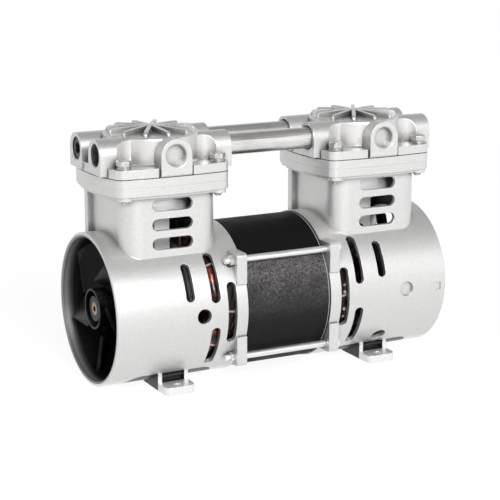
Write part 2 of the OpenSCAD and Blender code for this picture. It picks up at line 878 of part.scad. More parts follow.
module eccentric_right() {
    color("darkgray") right_crank() eccentric();
}

module set_screw() {
    translate([set_screw_u, 0, shaft_end_r + seat_gap]) difference() {
        cylinder(r = set_screw_r, h = set_screw_len);
        translate([0, 0, set_screw_len - set_socket_t]) hex(set_socket_af, set_socket_t + over);
    }
}

module eccentric_set_screws() {
    color("black") {
        left_end() set_screw();
        right_crank() set_screw();
    }
}

// Frame of the left piston, at top dead centre: Z from the big end's axis
module left_piston() {
    left_end() translate([0, 0, crank_e]) children();
}

// Frame of the right piston, at bottom dead centre
module right_piston() {
    right_end() translate([0, 0, -crank_e]) children();
}

// Connecting rod in one piece with its piston, X from the rim and Z from the big end's axis
module connecting_rod() {
    ring_r = rod_bearing_r + rod_ring_wall;
    web = 5;
    flange_w = 5;
    pocket_z = ring_r + over;
    top_z = rod_len - piston_stack;
    difference() {
        union() {
            bar_x(rod_u, rod_u + rod_t, ring_r);
            translate([rod_u, -shank_w / 2, 0]) cube([rod_t, shank_w, top_z + over]);
            translate([cylinder_u, 0, top_z - flare_t])
                cylinder(r1 = shank_w / 2 - flare_in, r2 = piston_r - flare_in, h = flare_t);
            translate([cylinder_u, 0, top_z]) cylinder(r = piston_r, h = piston_t);
        }
        bar_x(0, half_len, rod_bearing_r + seat_gap);
        for (s = [-1, 1]) translate([cylinder_u + s * (web / 2 + rod_t / 2), 0, 0])
            translate([-rod_t / 2, -shank_w / 2 + flange_w, pocket_z])
                cube([rod_t, shank_w - 2 * flange_w, top_z - flare_t - pocket_z]);
        translate([cylinder_u, 0, rod_len - piston_screw_len - over])
            cylinder(r = piston_screw_r + seat_gap, h = piston_screw_len);
    }
}

module connecting_rod_left() {
    color("gainsboro") left_piston() connecting_rod();
}

module connecting_rod_right() {
    color("gainsboro") right_piston() connecting_rod();
}

// Sealed ball bearing in the rod's big end
module rod_bearing() {
    pitch = (rod_bearing_r + journal_r) / 2;
    translate([rod_u, 0, 0]) {
        bearing_ring(rod_t, pitch + rod_land, rod_bearing_r, pitch, rod_ball_r);
        bearing_ring(rod_t, journal_r, pitch - rod_land, pitch, rod_ball_r);
        bearing_balls(rod_t, pitch, rod_ball_r, rod_balls);
    }
}

module rod_bearing_left() {
    color("lightsteelblue") left_piston() rod_bearing();
}

module rod_bearing_right() {
    color("lightsteelblue") right_piston() rod_bearing();
}

// Cup seal with its lip turned up along the bore
module piston_cup() {
    cup_r = bore_r - cup_gap;
    translate([cylinder_u, 0, rod_len - retainer_t - cup_t]) difference() {
        cylinder(r = cup_r, h = cup_lip);
        translate([0, 0, cup_t]) cylinder(r = cup_r - cup_t, h = cup_lip);
        through(piston_screw_r + seat_gap, cup_t);
    }
}

module piston_cup_left() {
    color("saddlebrown") left_piston() piston_cup();
}

module piston_cup_right() {
    color("saddlebrown") right_piston() piston_cup();
}

// Clamp plate over the cup, with a relief under the intake reed
module piston_retainer() {
    translate([cylinder_u, 0, rod_len - retainer_t]) difference() {
        cylinder(r = retainer_r, h = retainer_t);
        through(piston_screw_r + seat_gap, retainer_t);
        translate([0, 0, retainer_t - piston_screw_head_t])
            cylinder(r1 = piston_screw_r + seat_gap, r2 = piston_screw_head_r + screw_gap,
                h = piston_screw_head_t + eps);
        translate([reed_x0 - relief_gap, -reed_y - reed_w / 2 - relief_gap, retainer_t - relief_t])
            cube([reed_len + 2 * relief_gap, reed_w + 2 * relief_gap, relief_t + over]);
    }
}

module piston_retainer_left() {
    color("silver") left_piston() piston_retainer();
}

module piston_retainer_right() {
    color("silver") right_piston() piston_retainer();
}

module piston_screw() {
    translate([cylinder_u, 0, rod_len - piston_screw_len]) difference() {
        union() {
            cylinder(r = piston_screw_r, h = piston_screw_len - screw_gap);
            translate([0, 0, piston_screw_len - piston_screw_head_t])
                cylinder(r1 = piston_screw_r, r2 = piston_screw_head_r,
                    h = piston_screw_head_t - screw_gap / 2);
        }
        translate([0, 0, piston_screw_len - piston_socket_t])
            hex(piston_socket_af, piston_socket_t + over);
    }
}

module piston_screw_left() {
    color("gray") left_piston() piston_screw();
}

module piston_screw_right() {
    color("gray") right_piston() piston_screw();
}

// Cylinder sleeve, hung by its collar in the deck
module cylinder_sleeve() {
    difference() {
        union() {
            translate([0, 0, -sleeve_len]) cylinder(r = sleeve_r, h = sleeve_len);
            translate([0, 0, -collar_t]) cylinder(r = collar_r, h = collar_t);
        }
        translate([0, 0, -sleeve_len - over]) cylinder(r = bore_r, h = sleeve_len + 2 * over);
        translate([0, 0, -ring_groove_t]) difference() {
            cylinder(r = ring_groove_r + ring_groove_w / 2, h = ring_groove_t + over);
            cylinder(r = ring_groove_r - ring_groove_w / 2, h = ring_groove_t + over);
        }
    }
}

module cylinder_left() {
    color("whitesmoke") at_cylinder(-1, deck_h) cylinder_sleeve();
}

module cylinder_right() {
    color("whitesmoke") at_cylinder(1, deck_h) cylinder_sleeve();
}

module cylinder_o_rings() {
    cord_r = ring_groove_t / 2 - seat_gap;
    color("black") for (s = [-1, 1]) at_cylinder(s, deck_h - ring_groove_t / 2)
        rotate_extrude() translate([ring_groove_r, 0]) circle(cord_r, $fn = 24);
}

// Valves

// The three hole places of one valve, on the side given by s
module at_valve_holes(s) {
    for (i = [0:valve_holes - 1])
        translate([valve_hole_x + i * valve_hole_step, s * reed_y, 0]) children();
}

// Valve plate, Z from its underside
module valve_plate() {
    difference() {
        linear_extrude(plate_t) bowed_square();
        at_bolts() through(bolt_r + screw_gap, plate_t);
        for (s = [-1, 1]) {
            at_valve_holes(s) through(valve_hole_r, plate_t);
            translate([rivet_x, s * reed_y, 0]) through(rivet_r + seat_gap, plate_t);
        }
        translate([reed_x0 - pocket_gap, -reed_y - reed_w / 2 - pocket_gap, -over])
            cube([reed_len + 2 * pocket_gap, reed_w + 2 * pocket_gap, reed_pocket_t + over]);
    }
}

module valve_plate_left() {
    color("lightgray") at_cylinder(-1, plate_h) valve_plate();
}

module valve_plate_right() {
    color("lightgray") at_cylinder(1, plate_h) valve_plate();
}

// One reed lying on Z = 0, with its rivet hole
module reed() {
    difference() {
        union() {
            translate([reed_x0, -reed_w / 2, 0]) cube([reed_len - reed_w / 2, reed_w, reed_t]);
            translate([-reed_x0 - reed_w / 2, 0, 0]) cylinder(r = reed_w / 2, h = reed_t);
        }
        translate([rivet_x, 0, 0]) through(rivet_r + clear, reed_t);
    }
}

module intake_reed(side) {
    at_cylinder(side, plate_h + reed_pocket_t - reed_rest - reed_t) translate([0, -reed_y, 0]) reed();
}

module exhaust_reed(side) {
    at_cylinder(side, gasket_h + reed_rest) translate([0, reed_y, 0]) reed();
}

module intake_reed_left() {
    color("steelblue") intake_reed(-1);
}

module intake_reed_right() {
    color("steelblue") intake_reed(1);
}

module exhaust_reed_left() {
    color("steelblue") exhaust_reed(-1);
}

module exhaust_reed_right() {
    color("steelblue") exhaust_reed(1);
}

// Stop over an exhaust reed, its underside sloping up from the foot at the rivet
module reed_stop(side) {
    foot_len = 6;
    heel_t = 2.2;
    heel_x = reed_x0 - heel_t - clear;
    gap1 = reed_reach + reed_len * tan(reed_lift_angle + 1);
    at_cylinder(side, gasket_h) translate([0, reed_y, 0]) difference() {
        union() {
            rotate([90, 0, 0]) linear_extrude(reed_w, center = true) polygon([
                [reed_x0, reed_reach], [reed_x0 + foot_len, reed_reach + stop_rise], [-reed_x0, gap1],
                [-reed_x0, gap1 + stop_t], [reed_x0 + foot_len, stop_top], [reed_x0, stop_top]
            ]);
            translate([heel_x, -reed_w / 2, 0]) cube([heel_t, reed_w, stop_top]);
            translate([heel_x, -reed_w / 2, reed_reach])
                cube([reed_x0 - heel_x + over, reed_w, stop_top - reed_reach]);
        }
        translate([rivet_x, 0, 0]) cylinder(r = rivet_r + seat_gap, h = stop_top + over);
    }
}

module reed_stop_left() {
    color("gray") reed_stop(-1);
}

module reed_stop_right() {
    color("gray") reed_stop(1);
}

// Rivets of both reeds of both valve plates
module reed_rivets() {
    color("silver") for (side = [-1, 1]) {
        at_cylinder(side, plate_h + reed_pocket_t) translate([rivet_x, -reed_y, 0]) {
            translate([0, 0, -reed_reach]) cylinder(r = rivet_r, h = plate_t - reed_pocket_t + reed_reach);
            translate([0, 0, -reed_reach - rivet_head_t]) cylinder(r = rivet_head_r, h = rivet_head_t);
        }
        at_cylinder(side, plate_h) translate([rivet_x, reed_y, 0]) {
            cylinder(r = rivet_r, h = plate_t + stop_top + rivet_head_t);
            translate([0, 0, plate_t + stop_top]) cylinder(r = rivet_head_r, h = 2 * rivet_head_t);
        }
    }
}

// Gasket, open over both gas chambers
module head_gasket() {
    linear_extrude(gasket_t) difference() {
        bowed_square();
        difference() {
            circle(chamber_r);
            square([2 * drum_r, divider_t], center = true);
        }
        at_bolts() circle(bolt_r + screw_gap);
    }
}

module head_gasket_left() {
    color([0.2, 0.2, 0.2]) at_cylinder(-1, gasket_h) head_gasket();
}

module head_gasket_right() {
    color([0.2, 0.2, 0.2]) at_cylinder(1, gasket_h) head_gasket();
}

// Cylinder head

// Arched block from the axis out along X: round top of radius r, straight sides down to the base
module arch_block(reach, r) {
    translate([0, 0, port_h]) bar_x(0, reach, r);
    translate([0, -r, arch_skirt]) cube([reach, 2 * r, port_h - arch_skirt]);
}

// Cutter for one mouth: a bore of depth t with a chamfer, and a narrower passage to the chamber
module mouth_cut(sx, sy, r, t) {
    translate([0, sy * port_y, port_h]) rotate([0, sx * 90, 0]) {
        translate([0, 0, chamber_r / 2]) cylinder(r = throat_r, h = boss_reach - chamber_r / 2);
        translate([0, 0, boss_reach - t]) cylinder(r = r, h = t + over);
        translate([0, 0, boss_reach - mouth_chamfer])
            cylinder(r1 = r, r2 = r + mouth_chamfer + eps, h = mouth_chamfer + eps);
    }
}

// Groove for one tube's o-ring
module tube_groove_cut(sx, sy) {
    translate([0, sy * port_y, port_h]) rotate([0, sx * 90, 0])
        translate([0, 0, boss_reach - tube_groove_in - tube_groove_w])
            cylinder(r = tube_bore_r + tube_groove_t, h = tube_groove_w);
}

// The drum with its rounded top edge and the chamfer at its foot
module drum() {
    rotate_extrude() {
        square([drum_r - drum_round, drum_h]);
        square([drum_r, drum_h - drum_round]);
        translate([drum_r - drum_round, drum_h - drum_round]) circle(drum_round);
    }
    translate([0, 0, base_t]) cylinder(r1 = drum_r + drum_foot, r2 = drum_r, h = drum_foot);
}

// One star rib from the middle out along X, its top falling to a rounded outer corner
module star_rib() {
    h = drum_h + rib_h;
    corner_x = rib_r - rib_round;
    intersection() {
        translate([0, 0, drum_h - over]) union() {
            translate([0, -rib_t / 2, 0]) cube([rib_r - rib_t / 2, rib_t, rib_h + rib_rise + over]);
            translate([rib_r - rib_t / 2, 0, 0])
                cylinder(r = rib_t / 2, h = rib_h + over, $fn = 24);
        }
        translate([0, rib_t, 0]) rotate([90, 0, 0]) linear_extrude(2 * rib_t) {
            polygon([[0, 0], [corner_x, 0], [corner_x, h], [0, h + rib_rise]]);
            square([rib_r + over, h - rib_round]);
            translate([corner_x, h - rib_round]) circle(rib_round);
        }
    }
}

// The four port bosses, each with a round pocket beside its head bolt
module port_bosses() {
    for (sx = [0, 1], sy = [0, 1]) mirror([sx, 0, 0]) mirror([0, sy, 0]) difference() {
        translate([0, port_y, 0]) arch_block(boss_reach, boss_r);
        translate([pocket_x, pocket_y, base_t]) cylinder(r = pocket_r, h = drum_h);
    }
}

// Upright grooves that part the bosses from the head's base
module base_reliefs() {
    front_y = flange_half + bow_y;
    for (s = [0, 1]) mirror([s, 0, 0]) {
        translate([arch_r, -front_y - over, -over])
            cube([relief_w, relief_y + over, base_t + 2 * over]);
        for (sy = [0, 1]) mirror([0, sy, 0])
            translate([flange_half + bow_x / 2 - relief_x, port_y + boss_r, -over])
                cube([relief_x + bow_x, relief_w, base_t + 2 * over]);
    }
}

// Head, Z from its underside: tube_side is 1 where its crossover tubes leave along +X, else -1
module cylinder_head(tube_side) {
    difference() {
        union() {
            difference() {
                linear_extrude(base_t) bowed_square();
                base_reliefs();
            }
            drum();
            port_bosses();
            rotate([0, 0, -90]) arch_block(arch_reach, arch_r);
            cylinder(r = rib_hub_r, h = drum_h + rib_h + rib_rise);
            for (k = [0:rib_count - 1]) rotate([0, 0, k * 360 / rib_count]) star_rib();
        }
        difference() {
            translate([0, 0, -over]) cylinder(r = chamber_r, h = drum_h - head_wall + over);
            translate([-drum_r, -divider_t / 2, -2 * over])
                cube([2 * drum_r, divider_t, drum_h + 2 * over]);
        }
        for (sy = [-1, 1]) {
            mouth_cut(tube_side, sy, tube_bore_r, tube_depth);
            tube_groove_cut(tube_side, sy);
            mouth_cut(-tube_side, sy, port_r, port_depth);
        }
        translate([0, -arch_reach + recess_t, port_h]) rotate([90, 0, 0])
            cylinder(r = recess_r, h = recess_t + over);
        translate([0, -arch_reach + recess_chamfer, port_h]) rotate([90, 0, 0])
            cylinder(r1 = recess_r, r2 = recess_r + recess_chamfer + eps, h = recess_chamfer + eps);
        at_bolts() through(bolt_r + screw_gap, base_t);
    }
}

module cylinder_head_left() {
    color("silver") at_cylinder(-1, head_h) cylinder_head(1);
}

module cylinder_head_right() {
    color("silver") at_cylinder(1, head_h) cylinder_head(-1);
}

// Bolts

// Four head bolts, Z from the top of the head's base
module head_bolts() {
    seat = 2 * washer_t;
    turn = 15;
    below = base_t + gasket_t + plate_t + flange_t + bolt_boss_t + bolt_tip;
    at_bolts() {
        translate([0, 0, seat]) rotate([0, 0, turn]) hex(hex_af, hex_h);
        translate([0, 0, -below]) cylinder(r = bolt_r, h = below + seat + over);
    }
}

module head_bolts_left() {
    color("lightgray") at_cylinder(-1, head_h + base_t) head_bolts();
}

module head_bolts_right() {
    color("lightgray") at_cylinder(1, head_h + base_t) head_bolts();
}

// A plain and a spring washer under each bolt head
module head_washers() {
    color("lightgray") for (side = [-1, 1], i = [0, 1])
        at_cylinder(side, head_h + base_t + i * washer_t) at_bolts() difference() {
            cylinder(r = washer_r - i * spring_in, h = washer_t);
            through(bolt_r + screw_gap, washer_t);
            if (i == 1) translate([0, -spring_slit / 2, -over])
                cube([washer_r, spring_slit, washer_t + 2 * over]);
        }
}

module tie_bolts() {
    seat_x = stator_len / 2 + ear_len;
    color("lightgray") translate([0, 0, axis_h]) at_ties() {
        bar_x(-seat_x - tie_tip, seat_x + over, tie_r);
        translate([seat_x, 0, 0]) rotate([0, 90, 0]) hex(tie_hex_af, tie_hex_h);
    }
}

// Tubes and plugs

// One crossover tube at the side given by s
module crossover_tube(s) {
    end_x = head_x - boss_reach + tube_in;
    translate([0, s * port_y, axis_h + head_h + port_h])
        tube_x(-end_x, end_x, tube_r, tube_r - tube_wall);
}

module crossover_tube_front() {
    color("silver") crossover_tube(-1);
}

module crossover_tube_rear() {
    color("silver") crossover_tube(1);
}

module tube_o_rings() {
    groove_x = head_x - boss_reach + tube_groove_in + tube_groove_w / 2;
    cord_r = (clear + tube_groove_t) / 2 - seat_gap;
    color("black") for (sx = [-1, 1], sy = [-1, 1])
        translate([sx * groove_x, sy * port_y, axis_h + head_h + port_h]) rotate([0, 90, 0])
            rotate_extrude() translate([tube_r + cord_r + seat_gap, 0]) circle(cord_r, $fn = 24);
}

// Socket plug at the mouth on the outer end of a head
module port_plug(side, s) {
    sink = 1.5;
    plug_t = port_depth - sink - clear;
    socket_af = 8;
    socket_t = 6;
    translate([side * (head_x + boss_reach - sink), s * port_y, axis_h + head_h + port_h])
        rotate([0, -side * 90, 0]) difference() {
            cylinder(r = port_r - seat_gap, h = plug_t);
            translate([0, 0, -over]) hex(socket_af, socket_t + over);
        }
}

module port_plug_rear() {
    color("gray") port_plug(-1, 1);
}

module port_plug_front() {
    color("gray") port_plug(1, -1);
}

crankcase_left();
crankcase_right();
stator_core();
stator_windings();
tie_bolts();
cylinder_left();
cylinder_right();
cylinder_o_rings();
valve_plate_left();
valve_plate_right();
head_gasket_left();
head_gasket_right();
cylinder_head_left();
cylinder_head_right();
head_bolts_left();
head_bolts_right();
head_washers();
crossover_tube_front();
crossover_tube_rear();
tube_o_rings();
port_plug_rear();
port_plug_front();
reed_stop_left();
reed_stop_right();
reed_rivets();
main_bearing_outer_rings();
motor_shaft();
rotor_core();
fan_left();
fan_right();
eccentric_left();
eccentric_right();
eccentric_set_screws();
main_bearing_inner_rings();
main_bearing_balls();
connecting_rod_left();
connecting_rod_right();
rod_bearing_left();
rod_bearing_right();
piston_cup_left();
piston_cup_right();
piston_retainer_left();
piston_retainer_right();
piston_screw_left();
piston_screw_right();
intake_reed_left();
intake_reed_right();
exhaust_reed_left();
exhaust_reed_right();
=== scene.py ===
import json
import math

import bmesh
import bpy
from mathutils import Matrix, Vector


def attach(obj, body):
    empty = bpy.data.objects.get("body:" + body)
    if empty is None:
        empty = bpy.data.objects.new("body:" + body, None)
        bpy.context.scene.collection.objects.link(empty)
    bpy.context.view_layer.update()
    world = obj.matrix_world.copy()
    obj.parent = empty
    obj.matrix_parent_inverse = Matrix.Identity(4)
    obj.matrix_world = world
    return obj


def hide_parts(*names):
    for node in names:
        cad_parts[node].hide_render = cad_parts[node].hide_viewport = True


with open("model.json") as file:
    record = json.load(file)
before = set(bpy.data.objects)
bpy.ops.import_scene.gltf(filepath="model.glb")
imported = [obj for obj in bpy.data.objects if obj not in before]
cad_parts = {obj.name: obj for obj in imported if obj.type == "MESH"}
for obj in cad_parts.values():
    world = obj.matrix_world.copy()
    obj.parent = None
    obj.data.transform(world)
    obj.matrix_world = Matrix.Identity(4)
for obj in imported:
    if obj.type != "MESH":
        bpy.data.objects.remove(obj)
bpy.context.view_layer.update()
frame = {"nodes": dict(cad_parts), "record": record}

scene = bpy.context.scene
scene.view_settings.view_transform = "Standard"
NODES = frame["nodes"]

# ---------------------------------------------------------------- sizes in metres, as in the CAD
HALF = 0.138                 # from the middle to each open rim
AXIS_H = 0.0585              # the shaft's axis over the floor
HEAD_X = 0.086               # from the middle to each head's centre
HEAD_Z = AXIS_H + 0.1025     # underside of the heads
BASE_T = 0.0065              # thickness of a head's base
PORT_Y = 0.018               # from the middle plane to the ports' axes
PORT_Z = HEAD_Z + 0.0147     # the ports' axes over the floor

BOLT_XY = 0.0365             # from a head's centre to its bolts, along X and along Y
BOLT_R = 0.003
BOLT_SEAT = 0.0024           # raised seat and washer under a bolt's head
BOLT_BOSS = 0.0865           # underside of the bolt bosses over the shaft
BOLT_THREAD = 0.0875         # where a bolt's visible thread begins, over the shaft
BOLT_TIP = 0.0025            # how far a bolt sticks out below its boss

TIE_OUT = 0.060              # from the shaft to the long bolts
TIE_ANGLE = math.radians(38)
TIE_R = 0.0025
TIE_SEAT = 0.043             # from the middle to the ears' outer faces
TIE_END = 0.007              # how far a long bolt's threaded end sticks out

WINDING_X = 0.039            # from the middle to the stator's end faces
WINDING_IN = 0.034           # inner and outer radius of the winding heads
WINDING_OUT = 0.050
WINDING_LEN = 0.022          # length of a winding head
WINDING_CORNER = 0.004       # radius of its corners

# Where the castings are raw inside, each size a little larger than in the CAD
BARREL_IN = 0.0536           # radius inside a barrel
LIP_IN = 0.0551              # radius and depth of the open rim's inner edge
LIP_T = 0.0012
TOWER_FLAT = 0.0235          # half a tower's flat inner wall, and the radius of its corners
TOWER_CORNER = 0.0108
TOWER_TOP = 0.0872           # top of a tower's inside over the shaft
PORT_IN = 0.0083             # radius of a port's bore
PORT_END = 0.1245            # from the middle to a port's bottom
PORT_SHIFT = 0.03            # depth added in the ports, which have no spray

# ---------------------------------------------------------------- sizes that only the scene has
BOLT_HEAD = (0.010, 0.004)   # width across the flats, and height
TIE_HEAD = (0.008, 0.0035)
TIE_NUT = (0.0072, 0.0030)
BOLT_THREAD_SIZE = (0.001, 0.0004)     # pitch, and depth of a ridge
TIE_THREAD_SIZE = (0.0008, 0.00035)
BOLT_SIDES = 32
PORT_PITCH, PORT_RIDGE = 0.00134, 0.0006
PORT_THREAD_X = 0.1362       # from the middle to the thread's outer end
PORT_THREAD_R = 0.0079
PORT_THREAD_LEN = 0.0104
PORT_SIDES = 64
STRAND_R, STRAND_STEPS, STRAND_SIDES = 0.00055, 120, 5
CORD_R, CORD_SIDES, CORD_COUNT = 0.0009, 6, 9
KNOT_X, KNOT_R, KNOT_COUNT = 0.0513, 0.0015, 32
SMOOTH_ANGLE = math.radians(35.0)


# ---------------------------------------------------------------- camera
CAMERA_PLACE = (-0.540, -1.038, 0.367)
CAMERA_RIGHT = (0.8886, -0.4586, 0.0)
CAMERA_FRONT = (0.4461, 0.8645, -0.2317)
CAMERA_LENS = 112.75


def make_camera():
    right = Vector(CAMERA_RIGHT).normalized()
    front = Vector(CAMERA_FRONT).normalized()
    up = right.cross(front).normalized()
    right = front.cross(up).normalized()
    m = Matrix((right, up, -front)).transposed().to_4x4()
    m.translation = Vector(CAMERA_PLACE)
    data = bpy.data.cameras.new("camera")
    data.sensor_width = 36.0
    data.lens = CAMERA_LENS
    data.clip_start = 0.05
    data.clip_end = 50.0
    cam = bpy.data.objects.new("camera", data)
    cam.matrix_world = m
    scene.collection.objects.link(cam)
    scene.camera = cam


# ---------------------------------------------------------------- node helpers
def new_node(tree, kind, **values):
    n = tree.nodes.new(kind)
    for k, v in values.items():
        setattr(n, k, v)
    return n


class Tree:
    """A small helper that adds nodes to one material and links them."""

    def __init__(self, name):
        self.mat = bpy.data.materials.new(name)
        self.mat.use_nodes = True
        self.t = self.mat.node_tree
        self.t.nodes.clear()
        self.out = self.add("ShaderNodeOutputMaterial")
        self.bsdf = self.add("ShaderNodeBsdfPrincipled")
        self.link(self.bsdf.outputs["BSDF"], self.out.inputs["Surface"])

    def add(self, kind, **values):
        return new_node(self.t, kind, **values)

    def link(self, a, b):
        self.t.links.new(a, b)

    def set(self, **values):
        for k, v in values.items():
            self.bsdf.inputs[k.replace("_", " ")].default_value = v

    def place(self):
        return self.add("ShaderNodeTexCoord").outputs["Object"]

    def xyz(self):
        """X, Y and Z of each point, in metres."""
        s = self.add("ShaderNodeSeparateXYZ")
        self.link(self.place(), s.inputs["Vector"])
        return s.outputs["X"], s.outputs["Y"], s.outputs["Z"]

    def math(self, op, a, b=0.0):
        n = self.add("ShaderNodeMath", operation=op)
        for v, socket in ((a, n.inputs[0]), (b, n.inputs[1])):
            if isinstance(v, float):
                socket.default_value = v
            else:
                self.link(v, socket)
        return n.outputs["Value"]

    def hypot(self, a, b):
        squares = [self.math("MULTIPLY", v, v) for v in (a, b)]
        return self.math("SQRT", self.math("ADD", *squares))

    def noise(self, scale, detail=2.0, stretch=(1.0, 1.0, 1.0), rough=0.5):
        m = self.add("ShaderNodeMapping")
        m.inputs["Scale"].default_value = stretch
        self.link(self.place(), m.inputs["Vector"])
        n = self.add("ShaderNodeTexNoise")
        n.inputs["Scale"].default_value = scale
        n.inputs["Detail"].default_value = detail
        n.inputs["Roughness"].default_value = rough
        self.link(m.outputs["Vector"], n.inputs["Vector"])
        return n.outputs["Fac"]

    def strokes(self, scale, lean, length):
        """Short strokes that lean from X towards Z by an angle in degrees."""
        m = self.add("ShaderNodeMapping", vector_type="TEXTURE")
        m.inputs["Rotation"].default_value = (0.0, math.radians(lean), 0.0)
        m.inputs["Scale"].default_value = (length, 1.0, 1.0)
        self.link(self.place(), m.inputs["Vector"])
        n = self.add("ShaderNodeTexNoise")
        n.inputs["Scale"].default_value = scale
        n.inputs["Detail"].default_value = 3.0
        self.link(m.outputs["Vector"], n.inputs["Vector"])
        return n.outputs["Fac"]

    def ramp(self, fac, *stops):
        """Colour ramp with stops of (position, grey or colour)."""
        r = self.add("ShaderNodeValToRGB")
        e = r.color_ramp.elements
        while len(e) < len(stops):
            e.new(0.5)
        for el, (pos, col) in zip(e, stops):
            el.position = pos
            el.color = (*col, 1.0) if isinstance(col, tuple) else (col, col, col, 1.0)
        self.link(fac, r.inputs["Fac"])
        return r.outputs["Color"]

    def spread(self, fac, low, high, a=0.3, b=0.7):
        """Maps a to b onto low to high."""
        m = self.add("ShaderNodeMapRange")
        m.inputs["From Min"].default_value = a
        m.inputs["From Max"].default_value = b
        m.inputs["To Min"].default_value = low
        m.inputs["To Max"].default_value = high
        self.link(fac, m.inputs["Value"])
        return m.outputs["Result"]

    def mix(self, fac, a, b, blend="MIX"):
        m = self.add("ShaderNodeMix", data_type="RGBA", blend_type=blend)
        for v, s in ((fac, m.inputs[0]), (a, m.inputs[6]), (b, m.inputs[7])):
            if isinstance(v, (int, float)):
                s.default_value = v if s.type == "VALUE" else (v, v, v, 1.0)
            elif isinstance(v, tuple):
                s.default_value = (*v, 1.0)
            else:
                self.link(v, s)
        return m.outputs[2]

    def times(self, a, b):
        return self.mix(1.0, a, b, "MULTIPLY")

    def bump(self, height, strength, distance, normal=None):
        b = self.add("ShaderNodeBump")
        b.inputs["Strength"].default_value = strength
        b.inputs["Distance"].default_value = distance
        self.link(height, b.inputs["Height"])
        if normal is not None:
            self.link(normal, b.inputs["Normal"])
        return b.outputs["Normal"]

    def rounded(self, radius):
        """Edges rounded off in the shading."""
        b = self.add("ShaderNodeBevel", samples=4)
        b.inputs["Radius"].default_value = radius
        return b.outputs["Normal"]

    def edge(self, radius):
        """1 on sharp edges and 0 on flat ground, from how far the rounded normal turns."""
        g = self.add("ShaderNodeNewGeometry")
        d = self.add("ShaderNodeVectorMath", operation="DOT_PRODUCT")
        self.link(self.rounded(radius), d.inputs[0])
        self.link(g.outputs["Normal"], d.inputs[1])
        return self.spread(d.outputs["Value"], 1.0, 0.0, 0.86, 0.985)

    def crevice(self, distance, low):
        """Grey from low in corners and joints to 1 on open ground."""
        o = self.add("ShaderNodeAmbientOcclusion", samples=8)
        o.inputs["Distance"].default_value = distance
        return self.spread(o.outputs["AO"], low, 1.0, 0.32, 0.88)

    def normal(self, socket):
        self.link(socket, self.bsdf.inputs["Normal"])

    def colour(self, socket):
        self.link(socket, self.bsdf.inputs["Base Color"])

    def rough(self, socket):
        self.link(socket, self.bsdf.inputs["Roughness"])


# ---------------------------------------------------------------- materials
def inside_mask(t):
    """1 on the raw, dark inner walls and port bores of the castings, then the depth behind the open
    rim and the height over the shaft."""
    x, y, z = t.xyz()
    ax = t.math("ABSOLUTE", x)
    ay = t.math("ABSOLUTE", y)
    height = t.math("SUBTRACT", z, AXIS_H)
    depth = t.math("SUBTRACT", HALF, ax)
    radius = t.hypot(ay, height)
    barrel = t.math("LESS_THAN", radius, BARREL_IN)
    lip = t.math("MULTIPLY", t.math("LESS_THAN", radius, LIP_IN), t.math("LESS_THAN", depth, LIP_T))

    dx = t.math("ABSOLUTE", t.math("SUBTRACT", ax, HEAD_X))
    corner = [t.math("MAXIMUM", t.math("SUBTRACT", d, TOWER_FLAT)) for d in (dx, ay)]
    tower = t.math("LESS_THAN", t.hypot(*corner), TOWER_CORNER)
    tower = t.math("MULTIPLY", tower, t.math("LESS_THAN", height, TOWER_TOP))

    off = t.hypot(t.math("SUBTRACT", ay, PORT_Y), t.math("SUBTRACT", z, PORT_Z))
    port = t.math("MULTIPLY", t.math("LESS_THAN", off, PORT_IN), t.math("GREATER_THAN", ax, PORT_END))
    depth = t.math("ADD", depth, t.math("MULTIPLY", port, PORT_SHIFT))

    mask = t.math("MAXIMUM", barrel, tower)
    for more in (lip, port):
        mask = t.math("MAXIMUM", mask, more)
    return mask, depth, height


def cast_silver():
    """Aluminium casting under a fine-grained silver coat, brighter along its edges and on the feet.
    Inside it is raw and dark, with a stripe of stray spray behind the open rims."""
    t = Tree("cast_silver")
    grain = t.noise(2600.0, 2.0)
    cloud = t.noise(28.0, 4.0)
    pits = t.noise(900.0, 3.0, rough=0.6)
    speck = t.noise(900.0, 2.0, rough=0.7)
    inside, depth, height = inside_mask(t)
    feet = t.spread(height, 0.6, 0.0, -0.0500, -0.0460)
    low_down = t.spread(height, 0.90, 0.0, -0.0480, -0.0360)
    rim_depth = t.spread(depth, 0.0, 1.0, 0.0, 0.010)

    base = t.ramp(grain, (0.30, (0.62, 0.615, 0.61)), (0.70, (0.77, 0.765, 0.76)))
    base = t.mix(t.spread(cloud, 0.0, 0.15), base, (0.64, 0.635, 0.63))
    base = t.times(base, t.spread(speck, 0.93, 1.03, 0.34, 0.66))
    base = t.mix(t.edge(0.0006), base, (0.86, 0.855, 0.85))
    base = t.mix(feet, base, (0.92, 0.915, 0.91))
    base = t.times(base, t.mix(low_down, t.crevice(0.009, 0.40), 1.0))
    raw = t.ramp(pits, (0.3, (0.030, 0.030, 0.030)), (0.7, (0.060, 0.058, 0.056)))
    spray = t.ramp(rim_depth, (0.0, 0.25), (0.12, 0.42), (0.30, 0.84), (0.46, 0.62), (0.64, 0.24),
                   (0.95, 0.0))
    t.colour(t.mix(inside, base, t.mix(spray, raw, (0.72, 0.715, 0.71))))
    t.set(Metallic=0.72, Specular_IOR_Level=0.45)
    t.rough(t.spread(pits, 0.34, 0.44))
    t.normal(t.bump(pits, 0.16, 0.00012, t.bump(grain, 0.12, 0.00006, t.rounded(0.0006))))
    return t.mat


def zinc_steel():
    """Dull zinc on the bolt heads and washers, bright along the edges and dark in the joints."""
    t = Tree("zinc_steel")
    base = t.ramp(t.noise(500.0, 4.0), (0.3, (0.46, 0.45, 0.44)), (0.7, (0.64, 0.63, 0.61)))
    base = t.mix(t.edge(0.0004), base, (0.88, 0.88, 0.87))
    t.colour(t.times(base, t.crevice(0.004, 0.30)))
    t.set(Metallic=0.9)
    t.rough(t.spread(t.noise(900.0, 3.0), 0.24, 0.42))
    t.normal(t.bump(t.noise(1400.0, 2.0), 0.10, 0.00005, t.rounded(0.00025)))
    return t.mat


